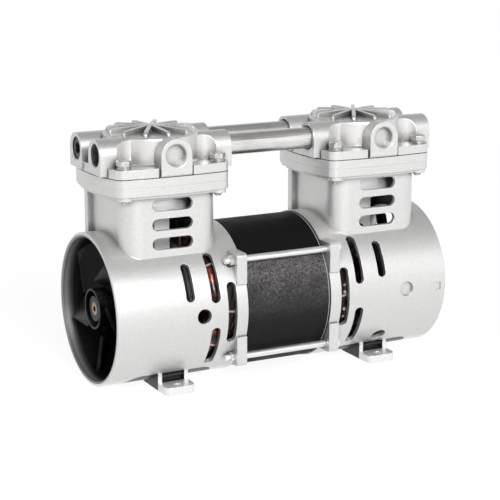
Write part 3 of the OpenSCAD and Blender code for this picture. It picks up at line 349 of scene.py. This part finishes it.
def bright_rod():
    """Bright zinc on the long bolts, with fine lines along X."""
    t = Tree("bright_rod")
    lines = t.noise(700.0, 3.0, (0.05, 1.0, 1.0))
    t.colour(t.ramp(lines, (0.3, (0.74, 0.735, 0.73)), (0.7, (0.88, 0.875, 0.87))))
    t.set(Metallic=0.75)
    t.rough(t.spread(lines, 0.26, 0.38))
    t.normal(t.bump(lines, 0.08, 0.00004, t.rounded(0.00025)))
    return t.mat


def tube_steel():
    """Drawn tube: fine lines along X and faint stains."""
    t = Tree("tube_steel")
    lines = t.noise(900.0, 3.0, (0.02, 1.0, 1.0))
    stain = t.noise(60.0, 5.0)
    base = t.ramp(lines, (0.3, (0.62, 0.61, 0.60)), (0.7, (0.80, 0.79, 0.78)))
    t.colour(t.mix(t.spread(stain, 0.0, 0.45, 0.45, 0.75), base, (0.50, 0.46, 0.43)))
    t.set(Metallic=0.92)
    t.rough(t.spread(lines, 0.22, 0.36))
    t.normal(t.bump(lines, 0.10, 0.00005))
    return t.mat


def bright_sleeve():
    """Pale cylinder sleeve with fine lines round it."""
    t = Tree("bright_sleeve")
    lines = t.noise(1500.0, 3.0, (0.05, 0.05, 1.0))
    t.colour(t.ramp(lines, (0.3, (0.82, 0.82, 0.82)), (0.7, (0.93, 0.93, 0.93))))
    t.set(Metallic=0.35)
    t.rough(t.spread(lines, 0.34, 0.50))
    t.normal(t.bump(lines, 0.08, 0.00004, t.rounded(0.0004)))
    return t.mat


def lamination():
    """Stack of black-coated laminations: fine lines round X, scuffed grey under the upper long bolts,
    and a thin bright line near the right end."""
    t = Tree("lamination")
    stack = t.noise(2600.0, 2.0, (1.0, 0.01, 0.01))
    scuff = t.strokes(1500.0, -52.0, 4.5)
    hair = t.strokes(1900.0, 20.0, 9.0)
    cloud = t.noise(60.0, 3.0, (1.0, 1.0, 1.6))
    x, _, z = t.xyz()
    tall = t.spread(z, 0.0, 1.0, 0.0, 0.12)
    right_end = t.spread(x, 0.0, 1.0, 0.0330, 0.0350)

    body = t.ramp(tall, (0.20, 0.0), (0.34, 0.20), (0.50, 0.34), (0.70, 0.30), (0.79, 0.0))
    band = t.ramp(tall, (0.40, 0.0), (0.58, 0.45), (0.70, 1.0), (0.78, 0.9), (0.80, 0.0))
    line = t.ramp(right_end, (0.22, 0.0), (0.28, 0.75), (0.48, 0.75), (0.54, 0.0))
    marks = t.mix(0.30, t.spread(scuff, 0.06, 1.0, 0.42, 0.64), t.spread(hair, 0.10, 1.0, 0.42, 0.66))
    marks = t.times(marks, t.spread(cloud, 0.55, 1.0, 0.35, 0.65))
    base = t.ramp(stack, (0.3, (0.004, 0.0038, 0.004)), (0.7, (0.008, 0.0076, 0.008)))
    base = t.mix(body, base, (0.050, 0.047, 0.048))
    base = t.mix(t.times(band, marks), base, (0.25, 0.24, 0.24))
    t.colour(t.mix(line, base, (0.55, 0.54, 0.53)))
    t.set(Specular_IOR_Level=0.08)
    t.rough(t.spread(cloud, 0.46, 0.62))
    t.normal(t.bump(stack, 0.22, 0.00008, t.bump(scuff, 0.10, 0.00005)))
    return t.mat


def copper_wire():
    """Varnished copper in patches of red and near-black, and dark beside the stator."""
    t = Tree("copper_wire")
    patches = t.noise(150.0, 5.0, rough=0.6)
    base = t.ramp(patches, (0.44, (0.006, 0.004, 0.004)), (0.52, (0.16, 0.022, 0.012)),
                  (0.62, (0.50, 0.095, 0.050)), (0.72, (0.75, 0.30, 0.20)))
    base = t.times(base, t.crevice(0.010, 0.22))
    x, _, _ = t.xyz()
    beside = t.spread(t.math("ABSOLUTE", x), 0.85, 0.0, 0.051, 0.055)
    t.colour(t.mix(beside, base, (0.012, 0.008, 0.008)))
    t.set(Metallic=0.35, Coat_Weight=0.5, Coat_Roughness=0.15)
    t.rough(t.spread(t.noise(700.0, 2.0), 0.25, 0.40))
    t.normal(t.bump(t.noise(1200.0, 2.0), 0.15, 0.00008))
    return t.mat


def lacing_cord():
    """Pale woven cord, dark in the joints."""
    t = Tree("lacing_cord")
    base = t.ramp(t.noise(800.0, 3.0), (0.3, (0.42, 0.36, 0.33)), (0.7, (0.62, 0.56, 0.52)))
    t.colour(t.times(base, t.crevice(0.008, 0.35)))
    t.rough(t.spread(t.noise(900.0, 2.0), 0.6, 0.85))
    t.normal(t.bump(t.noise(2200.0, 2.0, (1.0, 0.4, 1.0)), 0.5, 0.0001))
    return t.mat


def fan_plastic():
    """Black moulded plastic with a little dust and faint flow lines."""
    t = Tree("fan_plastic")
    dust = t.noise(45.0, 5.0)
    patch = t.spread(t.noise(26.0, 2.0), 0.0, 1.0, 0.50, 0.62)
    speck = t.spread(t.noise(1300.0, 3.0, rough=0.7), 0.15, 1.0, 0.44, 0.60)
    base = t.ramp(dust, (0.40, (0.002, 0.002, 0.002)), (0.75, (0.006, 0.006, 0.006)))
    base = t.mix(t.times(patch, speck), base, (0.085, 0.078, 0.074))
    t.colour(t.mix(t.edge(0.0006), base, (0.05, 0.05, 0.05)))
    t.set(Specular_IOR_Level=0.12)
    t.rough(t.spread(dust, 0.20, 0.34))
    t.normal(t.bump(t.noise(300.0, 3.0, (1.0, 1.0, 3.0)), 0.10, 0.0001, t.rounded(0.0005)))
    return t.mat


def turned(t, rings, rough):
    """Gives t the roughness and bump that all turned steel shares."""
    t.rough(t.spread(rings, *rough))
    t.normal(t.bump(rings, 0.12, 0.00005, t.rounded(0.0003)))
    return t.mat


def turned_steel(name, dark, light, rough, metallic):
    """Turned or ground steel with fine rings across X."""
    t = Tree(name)
    rings = t.noise(1600.0, 3.0, (1.0, 0.03, 0.03))
    t.colour(t.ramp(rings, (0.3, dark), (0.7, light)))
    t.set(Metallic=metallic)
    return turned(t, rings, rough)


def shaft_steel():
    """Ground steel, oil-brown on the end faces inside a dark chamfer."""
    t = Tree("shaft_steel")
    rings = t.noise(1600.0, 3.0, (1.0, 0.03, 0.03))
    flat = t.add("ShaderNodeVectorMath", operation="MULTIPLY")
    flat.inputs[1].default_value = (0.0, 1.0, 1.0)
    off = t.add("ShaderNodeVectorMath", operation="DISTANCE")
    off.inputs[1].default_value = (0.0, 0.0, AXIS_H)
    t.link(t.place(), flat.inputs[0])
    t.link(flat.outputs["Vector"], off.inputs[0])
    radius = t.spread(off.outputs["Value"], 0.0, 1.0, 0.0, 0.010)
    face = t.ramp(radius, (0.20, (0.02, 0.014, 0.01)), (0.24, (0.40, 0.26, 0.17)),
                  (0.46, (0.30, 0.20, 0.14)), (0.52, (0.010, 0.009, 0.008)),
                  (0.60, (0.012, 0.011, 0.010)), (0.66, (0.50, 0.48, 0.46)))
    t.colour(t.times(face, t.spread(rings, 0.8, 1.1)))
    t.set(Metallic=0.85)
    return turned(t, rings, (0.28, 0.42))


def mottled(name, tint, dark, light, coat, rough, grit, bump, metallic=0.0, corner=None):
    """One colour, faintly mottled. Noise is given as (scale, detail): tint for the colour from dark to
    light, coat for the roughness and grit for the bump."""
    t = Tree(name)
    t.colour(t.ramp(t.noise(*tint), (0.3, dark), (0.7, light)))
    t.set(Metallic=metallic)
    t.rough(t.spread(t.noise(*coat), *rough))
    t.normal(t.bump(t.noise(*grit), *bump, t.rounded(corner) if corner else None))
    return t.mat


def grey(v):
    return (v, v, v)


def make_materials():
    """A material for each slot of the record, and for the long bolts and the lacing."""
    m = {
        "casting": cast_silver(), "fastener": zinc_steel(), "tie_rod": bright_rod(),
        "tube": tube_steel(), "sleeve": bright_sleeve(), "lamination": lamination(),
        "winding": copper_wire(), "lacing": lacing_cord(), "fan": fan_plastic(),
        "shaft": shaft_steel(),
        "rotor": turned_steel("rotor_steel", grey(0.22), grey(0.36), (0.4, 0.55), 0.9),
        "bearing_steel": turned_steel("bearing_steel", (0.62, 0.63, 0.65), (0.80, 0.81, 0.83),
                                      (0.12, 0.22), 1.0),
        "spring_steel": turned_steel("spring_steel", (0.48, 0.50, 0.54), (0.66, 0.68, 0.72),
                                     (0.15, 0.28), 1.0),
        "o_ring": mottled("black_rubber", (600.0, 3.0), grey(0.012), grey(0.030),
                          (900.0, 2.0), (0.45, 0.70), (2500.0, 2.0), (0.2, 0.00005)),
        "gasket": mottled("gasket_sheet", (900.0, 4.0), (0.020, 0.020, 0.021), (0.050, 0.048, 0.047),
                          (700.0, 2.0), (0.65, 0.85), (1800.0, 3.0), (0.35, 0.00008)),
        "cup": mottled("cup_seal", (500.0, 4.0), (0.10, 0.055, 0.03), (0.20, 0.12, 0.07),
                       (700.0, 2.0), (0.4, 0.6), (1500.0, 2.0), (0.2, 0.00006)),
        "iron": mottled("iron", (400.0, 5.0), grey(0.07), (0.15, 0.145, 0.14),
                        (800.0, 3.0), (0.45, 0.65), (1100.0, 3.0), (0.3, 0.0001), 0.6, 0.0004),
        "rod": mottled("rod_alloy", (700.0, 4.0), (0.82, 0.81, 0.80), (0.93, 0.92, 0.91),
                       (600.0, 3.0), (0.32, 0.5), (1500.0, 2.0), (0.15, 0.00008), 0.3, 0.0005),
        "plug": mottled("black_oxide", (700.0, 3.0), (0.05, 0.047, 0.045), (0.13, 0.12, 0.115),
                        (900.0, 2.0), (0.35, 0.5), (1500.0, 2.0), (0.15, 0.00006), 0.8, 0.0003),
    }
    m["valve_plate"] = m["casting"]
    return m


def paint_nodes(mats):
    slots = {s["node"]: s["material_slot"] for s in frame["record"]["subparts"]}
    for name, obj in NODES.items():
        mat = mats[slots[name]]
        if not obj.material_slots:
            obj.data.materials.append(mat)
        for s in obj.material_slots:
            s.material = mat


# ---------------------------------------------------------------- mesh helpers
def add_piece(name, bm, mat, body):
    me = bpy.data.meshes.new(name)
    bmesh.ops.recalc_face_normals(bm, faces=bm.faces[:])
    bm.to_mesh(me)
    bm.free()
    for p in me.polygons:
        p.use_smooth = True
    me.set_sharp_from_angle(angle=SMOOTH_ANGLE)
    obj = bpy.data.objects.new(name, me)
    scene.collection.objects.link(obj)
    me.materials.append(mat)
    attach(obj, body)
    return obj


def skin(bm, rings, closed=False):
    """Faces from each ring to the next. A ring of one point is a tip on the axis."""
    pairs = list(zip(rings, rings[1:]))
    if closed:
        pairs.append((rings[-1], rings[0]))
    for lo, hi in pairs:
        n = max(len(lo), len(hi))
        for i in range(n if n > 1 else 0):
            j = (i + 1) % n
            if len(lo) == 1:
                bm.faces.new((lo[0], hi[j], hi[i]))
            elif len(hi) == 1:
                bm.faces.new((lo[i], lo[j], hi[0]))
            else:
                bm.faces.new((lo[i], lo[j], hi[j], hi[i]))


def circle(bm, centre, u, v, r, n):
    """Ring of n points round centre, in the plane of the unit vectors u and v."""
    angles = (2 * math.pi * k / n for k in range(n))
    return [bm.verts.new(centre + r * (math.cos(a) * u + math.sin(a) * v)) for a in angles]


def lathe(bm, profile, place, segments, closed=False):
    """Turns a profile of (radius, height) round local Z and puts it at place."""
    rings = []
    for r, z in profile:
        if r < 1e-7:
            rings.append([bm.verts.new(place @ Vector((0, 0, z)))])
        else:
            rings.append([bm.verts.new(place @ Vector((r * math.cos(a), r * math.sin(a), z)))
                          for a in (2 * math.pi * i / segments for i in range(segments))])
    skin(bm, rings, closed)


def hex_head(bm, place, af, h, turn):
    """Hexagon head with a washer face below, and a 30 degree chamfer and a shallow dish on top."""
    apothem, steps, dish = af / 2, 8, 0.00025
    outline = []
    for side in range(6):
        for k in range(steps):
            a = math.radians(60 * side + 60 * k / steps - 30)
            r = apothem / math.cos(math.radians(60 * k / steps - 30))
            outline.append((a + turn, r))
    foot_r = apothem * 0.97
    flat_r = apothem * 0.94
    slope = math.tan(math.radians(30))

    def ring(radius_of, z_of):
        points = ((radius_of(r) * math.cos(a), radius_of(r) * math.sin(a), z_of(r)) for a, r in outline)
        return [bm.verts.new(place @ Vector(p)) for p in points]

    low = ring(lambda r: min(r, foot_r), lambda r: 0.0)
    wall0 = ring(lambda r: r, lambda r: max(0.0002, (r - flat_r) * slope * 0.6))
    wall1 = ring(lambda r: r, lambda r: h - max(0.0, r - flat_r) * slope)
    top = ring(lambda r: flat_r, lambda r: h)
    rim = ring(lambda r: flat_r * 0.8, lambda r: h - dish)
    centre = bm.verts.new(place @ Vector((0, 0, h - dish)))
    bottom = bm.verts.new(place @ Vector((0, 0, 0.0)))
    skin(bm, [[bottom], low, wall0, wall1, top, rim, [centre]])


def thread_profile(r, z0, z1, pitch, depth):
    """Profile of a threaded stud from z0 to z1: ridges, and a chamfered tip at z1."""
    points = [(r, z0)]
    sign = 1 if z1 > z0 else -1
    z, end = z0, z1 - sign * r * 0.35
    while (end - z) * sign > pitch:
        points += [(r, z + sign * 0.15 * pitch), (r - depth, z + sign * 0.5 * pitch),
                   (r, z + sign * 0.85 * pitch)]
        z += sign * pitch
    return points + [(r, end), (r * 0.7, z1), (0.0, z1)]


# ---------------------------------------------------------------- pieces
def bolt_places(side):
    for sx in (-1, 1):
        for sy in (-1, 1):
            yield side * HEAD_X + sx * BOLT_XY, sy * BOLT_XY


def make_head_bolts(mats):
    """Hexagon heads on the heads' bolt seats, and the threaded tips below the flanges."""
    seat = HEAD_Z + BASE_T + BOLT_SEAT
    top = seat + 0.001
    tip = AXIS_H + BOLT_BOSS - BOLT_TIP
    shank = [(0.0, top), (BOLT_R, top)]
    shank += thread_profile(BOLT_R, AXIS_H + BOLT_THREAD, tip, *BOLT_THREAD_SIZE)
    for side, label in ((-1, "left"), (1, "right")):
        bm = bmesh.new()
        for i, (x, y) in enumerate(bolt_places(side)):
            hex_head(bm, Matrix.Translation((x, y, seat)), *BOLT_HEAD, 0.26 + 0.5 * i)
            lathe(bm, shank, Matrix.Translation((x, y, 0)), BOLT_SIDES)
        obj = add_piece(f"hex_bolts_{label}", bm, mats["fastener"], "housing")
        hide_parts(f"head_bolts_{label}")


def make_tie_bolts(mats):
    """Long bolts between the ears: heads at the right end, nuts and threads at the left end."""
    bm = bmesh.new()
    rot = Matrix.Rotation(math.radians(90), 4, "Y")
    profile = [(0.0, TIE_SEAT + 0.001), (TIE_R, TIE_SEAT + 0.001), (TIE_R, 0.0), (TIE_R, -TIE_SEAT)]
    profile += thread_profile(TIE_R, -TIE_SEAT, -TIE_SEAT - TIE_END, *TIE_THREAD_SIZE)
    for sy in (-1, 1):
        for sz in (-1, 1):
            y = sy * TIE_OUT * math.cos(TIE_ANGLE)
            z = AXIS_H + sz * TIE_OUT * math.sin(TIE_ANGLE)
            lathe(bm, profile, Matrix.Translation((0, y, z)) @ rot, BOLT_SIDES)
            head = Matrix.Translation((TIE_SEAT, y, z)) @ rot
            nut = Matrix.Translation((-TIE_SEAT, y, z)) @ rot.inverted()
            hex_head(bm, head, *TIE_HEAD, 0.2 * sy + 0.3 * sz)
            hex_head(bm, nut, *TIE_NUT, 0.5 * sy - 0.2 * sz)
    obj = add_piece("tie_rods", bm, mats["tie_rod"], "housing")
    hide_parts("tie_bolts")


def make_port_threads(mats):
    """Rings of a pipe thread in the two open ports, which end a chamfer's depth inside the bosses."""
    root, ridge, back = PORT_THREAD_R + 0.00002, PORT_THREAD_R - PORT_RIDGE, PORT_THREAD_R + 0.0002
    turns = int(PORT_THREAD_LEN / PORT_PITCH)
    profile = []
    for i in range(turns):
        z = i * PORT_PITCH
        profile += [(root, z), (ridge, z + 0.4 * PORT_PITCH), (ridge, z + 0.6 * PORT_PITCH)]
    end = turns * PORT_PITCH
    profile += [(root, end), (back, end), (back, 0.0)]
    bm = bmesh.new()
    for side, y in ((-1, -PORT_Y), (1, PORT_Y)):
        inward = Matrix.Rotation(math.radians(-90 * side), 4, "Y")
        place = Matrix.Translation((side * PORT_THREAD_X, y, PORT_Z)) @ inward
        lathe(bm, profile, place, PORT_SIDES, closed=True)
    add_piece("port_threads", bm, mats["plug"], "housing")


def winding_section():
    """Where the strands cross a winding head, as (distance from the stator, radius), from the outside
    over the end to the inside."""
    start, flat = 0.001, WINDING_LEN - WINDING_CORNER
    outer, inner = WINDING_OUT - WINDING_CORNER, WINDING_IN + WINDING_CORNER
    end_width = WINDING_OUT - WINDING_IN - 2 * WINDING_CORNER

    def bend(r, first):
        for k in range(1, 7):
            a = math.radians(first - 15 * k)
            yield flat + WINDING_CORNER * math.cos(a), r + WINDING_CORNER * math.sin(a)

    section = [(start + k * (flat - start) / 11, WINDING_OUT) for k in range(12)]
    section += bend(outer, 90)
    section += [(WINDING_LEN, outer - k * end_width / 6) for k in range(7)]
    section += bend(inner, 0)
    return section


def make_strand(bm, sx, i, dx, r):
    """Strand number i round a winding head, in a bundle that rises and falls."""
    rings = []
    for s in range(STRAND_STEPS):
        a = 2 * math.pi * s / STRAND_STEPS
        wave = 0.0012 * math.sin(7 * a + 0.9 * i) + 0.0006 * math.sin(23 * a + 2.3 * i)
        lift = 0.00045 * math.sin(11 * a + 1.7 * i) - 0.0003
        along, out = (wave, lift) if r >= WINDING_OUT else (lift, wave * 0.5)
        x, r_out = sx * (WINDING_X + dx + along), r + out
        centre = Vector((x, r_out * math.cos(a), r_out * math.sin(a))) + Vector((0, 0, AXIS_H))
        radial = Vector((0, math.cos(a), math.sin(a)))
        rings.append(circle(bm, centre, radial, Vector((1, 0, 0)), STRAND_R, STRAND_SIDES))
    skin(bm, rings, closed=True)


def make_cord(bm, sx, n):
    """Cord number n, which laces a winding head from its outside over the end to its inside."""
    a0 = math.radians(40 * n + 12.0 + 9.0 * math.sin(5.0 * n))
    flat, bend = WINDING_LEN - WINDING_CORNER, WINDING_LEN - WINDING_CORNER * 0.3
    path = [(0.0005, WINDING_OUT + CORD_R), (flat, WINDING_OUT + CORD_R),
            (bend, WINDING_OUT - WINDING_CORNER * 0.3 + 0.0004),
            (WINDING_LEN + CORD_R, WINDING_OUT - WINDING_CORNER),
            (WINDING_LEN + CORD_R, WINDING_IN + WINDING_CORNER),
            (bend, WINDING_IN + WINDING_CORNER * 0.3 - 0.0004),
            (flat, WINDING_IN - CORD_R), (0.0005, WINDING_IN - CORD_R)]
    rings = []
    for q, (dx, r) in enumerate(path):
        a = a0 + 0.05 * (dx / WINDING_LEN - 0.5) * (1 if n % 2 else -1)
        radial = Vector((0, math.cos(a), math.sin(a)))
        before, after = path[max(0, q - 1)], path[min(len(path) - 1, q + 1)]
        tangent = Vector((sx * (after[0] - before[0]), 0, 0)) + radial * (after[1] - before[1])
        side = Vector((0, -math.sin(a), math.cos(a)))
        centre = Vector((sx * (WINDING_X + dx), 0, AXIS_H)) + radial * r
        rings.append(circle(bm, centre, tangent.cross(side).normalized(), side, CORD_R, CORD_SIDES))
    skin(bm, rings)
    bm.faces.new(rings[0])
    bm.faces.new(list(reversed(rings[-1])))


def make_knot(bm, sx, n):
    """Bead number n of the ring of knots on a winding head's outside."""
    a = math.radians(11.25 * n + 3.0 * math.sin(3.0 * n))
    x = sx * (KNOT_X + 0.0005 * math.sin(7.0 * n))
    place = Matrix.Translation((x, WINDING_OUT * math.cos(a), AXIS_H + WINDING_OUT * math.sin(a)))
    radius = KNOT_R + 0.0003 * math.sin(2.0 * n)
    bmesh.ops.create_icosphere(bm, subdivisions=2, radius=radius, matrix=place)


def make_windings(mats):
    """Strands over the solid winding heads, and their lacing."""
    strands, lacing = bmesh.new(), bmesh.new()
    for sx in (-1, 1):
        for i, (dx, r) in enumerate(winding_section()):
            make_strand(strands, sx, i, dx, r)
        for n in range(CORD_COUNT):
            make_cord(lacing, sx, n)
        for n in range(KNOT_COUNT):
            make_knot(lacing, sx, n)
    add_piece("winding_strands", strands, mats["winding"], "housing")
    add_piece("winding_lacing", lacing, mats["lacing"], "housing")


# ---------------------------------------------------------------- stage and light
AMBIENT = 0.24               # soft white light on the object
STUDIO = ((0.30, 1.0), (0.62, 0.42), (0.95, 0.22))     # (height, grey) of what glossy rays meet
FLOOR_GLOW = 1.22
FLOOR_SHARE = 0.80           # share of the glow in what the camera and glossy rays see of the floor
LAMP_TARGET = (0, 0, 0.1)
LAMPS = (                    # name, place, size and power
    ("key", (-0.22, -1.80, 1.15), 0.9, 41.0),
    ("fill", (1.5, -1.2, 0.6), 1.0, 1.8),
    ("side", (-1.7, -0.2, 0.7), 1.0, 1.0),
)


def rays(tree, path, *kinds):
    """1 for rays of these kinds and 0 for the others."""
    total = path.outputs[kinds[0]]
    for kind in kinds[1:]:
        m = new_node(tree, "ShaderNodeMath", operation="MAXIMUM")
        tree.links.new(total, m.inputs[0])
        tree.links.new(path.outputs[kind], m.inputs[1])
        total = m.outputs["Value"]
    return total


def mix_shaders(tree, fac, a, b):
    m = tree.nodes.new("ShaderNodeMixShader")
    for socket, end in zip((fac, a, b), m.inputs):
        tree.links.new(socket, end)
    return m.outputs[0]


def make_world():
    """White for the camera, a studio that darkens upwards for glossy rays, and soft white light."""
    world = bpy.data.worlds.new("world")
    scene.world = world
    world.use_nodes = True
    t = world.node_tree
    t.nodes.clear()
    out = t.nodes.new("ShaderNodeOutputWorld")
    path = t.nodes.new("ShaderNodeLightPath")
    white, studio, soft = (t.nodes.new("ShaderNodeBackground") for _ in range(3))
    coords = t.nodes.new("ShaderNodeTexCoord")
    height = t.nodes.new("ShaderNodeSeparateXYZ")
    ramp = t.nodes.new("ShaderNodeValToRGB")
    t.links.new(coords.outputs["Generated"], height.inputs["Vector"])
    t.links.new(height.outputs["Z"], ramp.inputs["Fac"])
    elements = ramp.color_ramp.elements
    elements.new(0.5)
    for el, (pos, v) in zip(elements, STUDIO):
        el.position = pos
        el.color = (v, v, v, 1.0)
    t.links.new(ramp.outputs["Color"], studio.inputs["Color"])
    for background in (white, soft):
        background.inputs["Color"].default_value = (1, 1, 1, 1)
    soft.inputs["Strength"].default_value = AMBIENT
    gloss = rays(t, path, "Is Glossy Ray", "Is Transmission Ray")
    unseen = mix_shaders(t, gloss, soft.outputs[0], studio.outputs[0])
    seen = mix_shaders(t, path.outputs["Is Camera Ray"], unseen, white.outputs[0])
    t.links.new(seen, out.inputs["Surface"])


def make_floor():
    """White floor that fades into the background and takes the contact shadows."""
    bm = bmesh.new()
    bmesh.ops.create_grid(bm, x_segments=2, y_segments=2, size=12.0)
    me = bpy.data.meshes.new("floor")
    bm.to_mesh(me)
    bm.free()
    floor = bpy.data.objects.new("floor", me)
    scene.collection.objects.link(floor)
    mat = bpy.data.materials.new("floor_white")
    mat.use_nodes = True
    t = mat.node_tree
    t.nodes.clear()
    out = t.nodes.new("ShaderNodeOutputMaterial")
    glow = t.nodes.new("ShaderNodeEmission")
    flat = t.nodes.new("ShaderNodeBsdfDiffuse")
    place = t.nodes.new("ShaderNodeTexCoord")
    far = new_node(t, "ShaderNodeVectorMath", operation="LENGTH")
    fade = t.nodes.new("ShaderNodeMapRange")
    for name, v in (("From Min", 0.3), ("From Max", 1.5), ("To Min", 0.95), ("To Max", 1.0)):
        fade.inputs[name].default_value = v
    t.links.new(place.outputs["Object"], far.inputs[0])
    t.links.new(far.outputs["Value"], fade.inputs["Value"])
    t.links.new(fade.outputs["Result"], glow.inputs["Color"])
    glow.inputs["Strength"].default_value = FLOOR_GLOW
    flat.inputs["Color"].default_value = (0.70, 0.70, 0.70, 1)
    path = t.nodes.new("ShaderNodeLightPath")
    share = new_node(t, "ShaderNodeMath", operation="MULTIPLY")
    share.inputs[1].default_value = FLOOR_SHARE
    t.links.new(rays(t, path, "Is Camera Ray", "Is Glossy Ray", "Is Transmission Ray"), share.inputs[0])
    t.links.new(mix_shaders(t, share.outputs["Value"], flat.outputs[0], glow.outputs[0]),
                out.inputs["Surface"])
    me.materials.append(mat)


def make_lamps():
    for name, place, size, power in LAMPS:
        data = bpy.data.lights.new(name, "AREA")
        data.energy = power
        data.size = size
        obj = bpy.data.objects.new(name, data)
        scene.collection.objects.link(obj)
        obj.rotation_euler = (Vector(LAMP_TARGET) - Vector(place)).to_track_quat("-Z", "Y").to_euler()
        obj.location = place


# ---------------------------------------------------------------- put together
make_camera()
MATS = make_materials()
paint_nodes(MATS)
make_head_bolts(MATS)
make_tie_bolts(MATS)
make_port_threads(MATS)
make_windings(MATS)
make_world()
make_floor()
make_lamps()
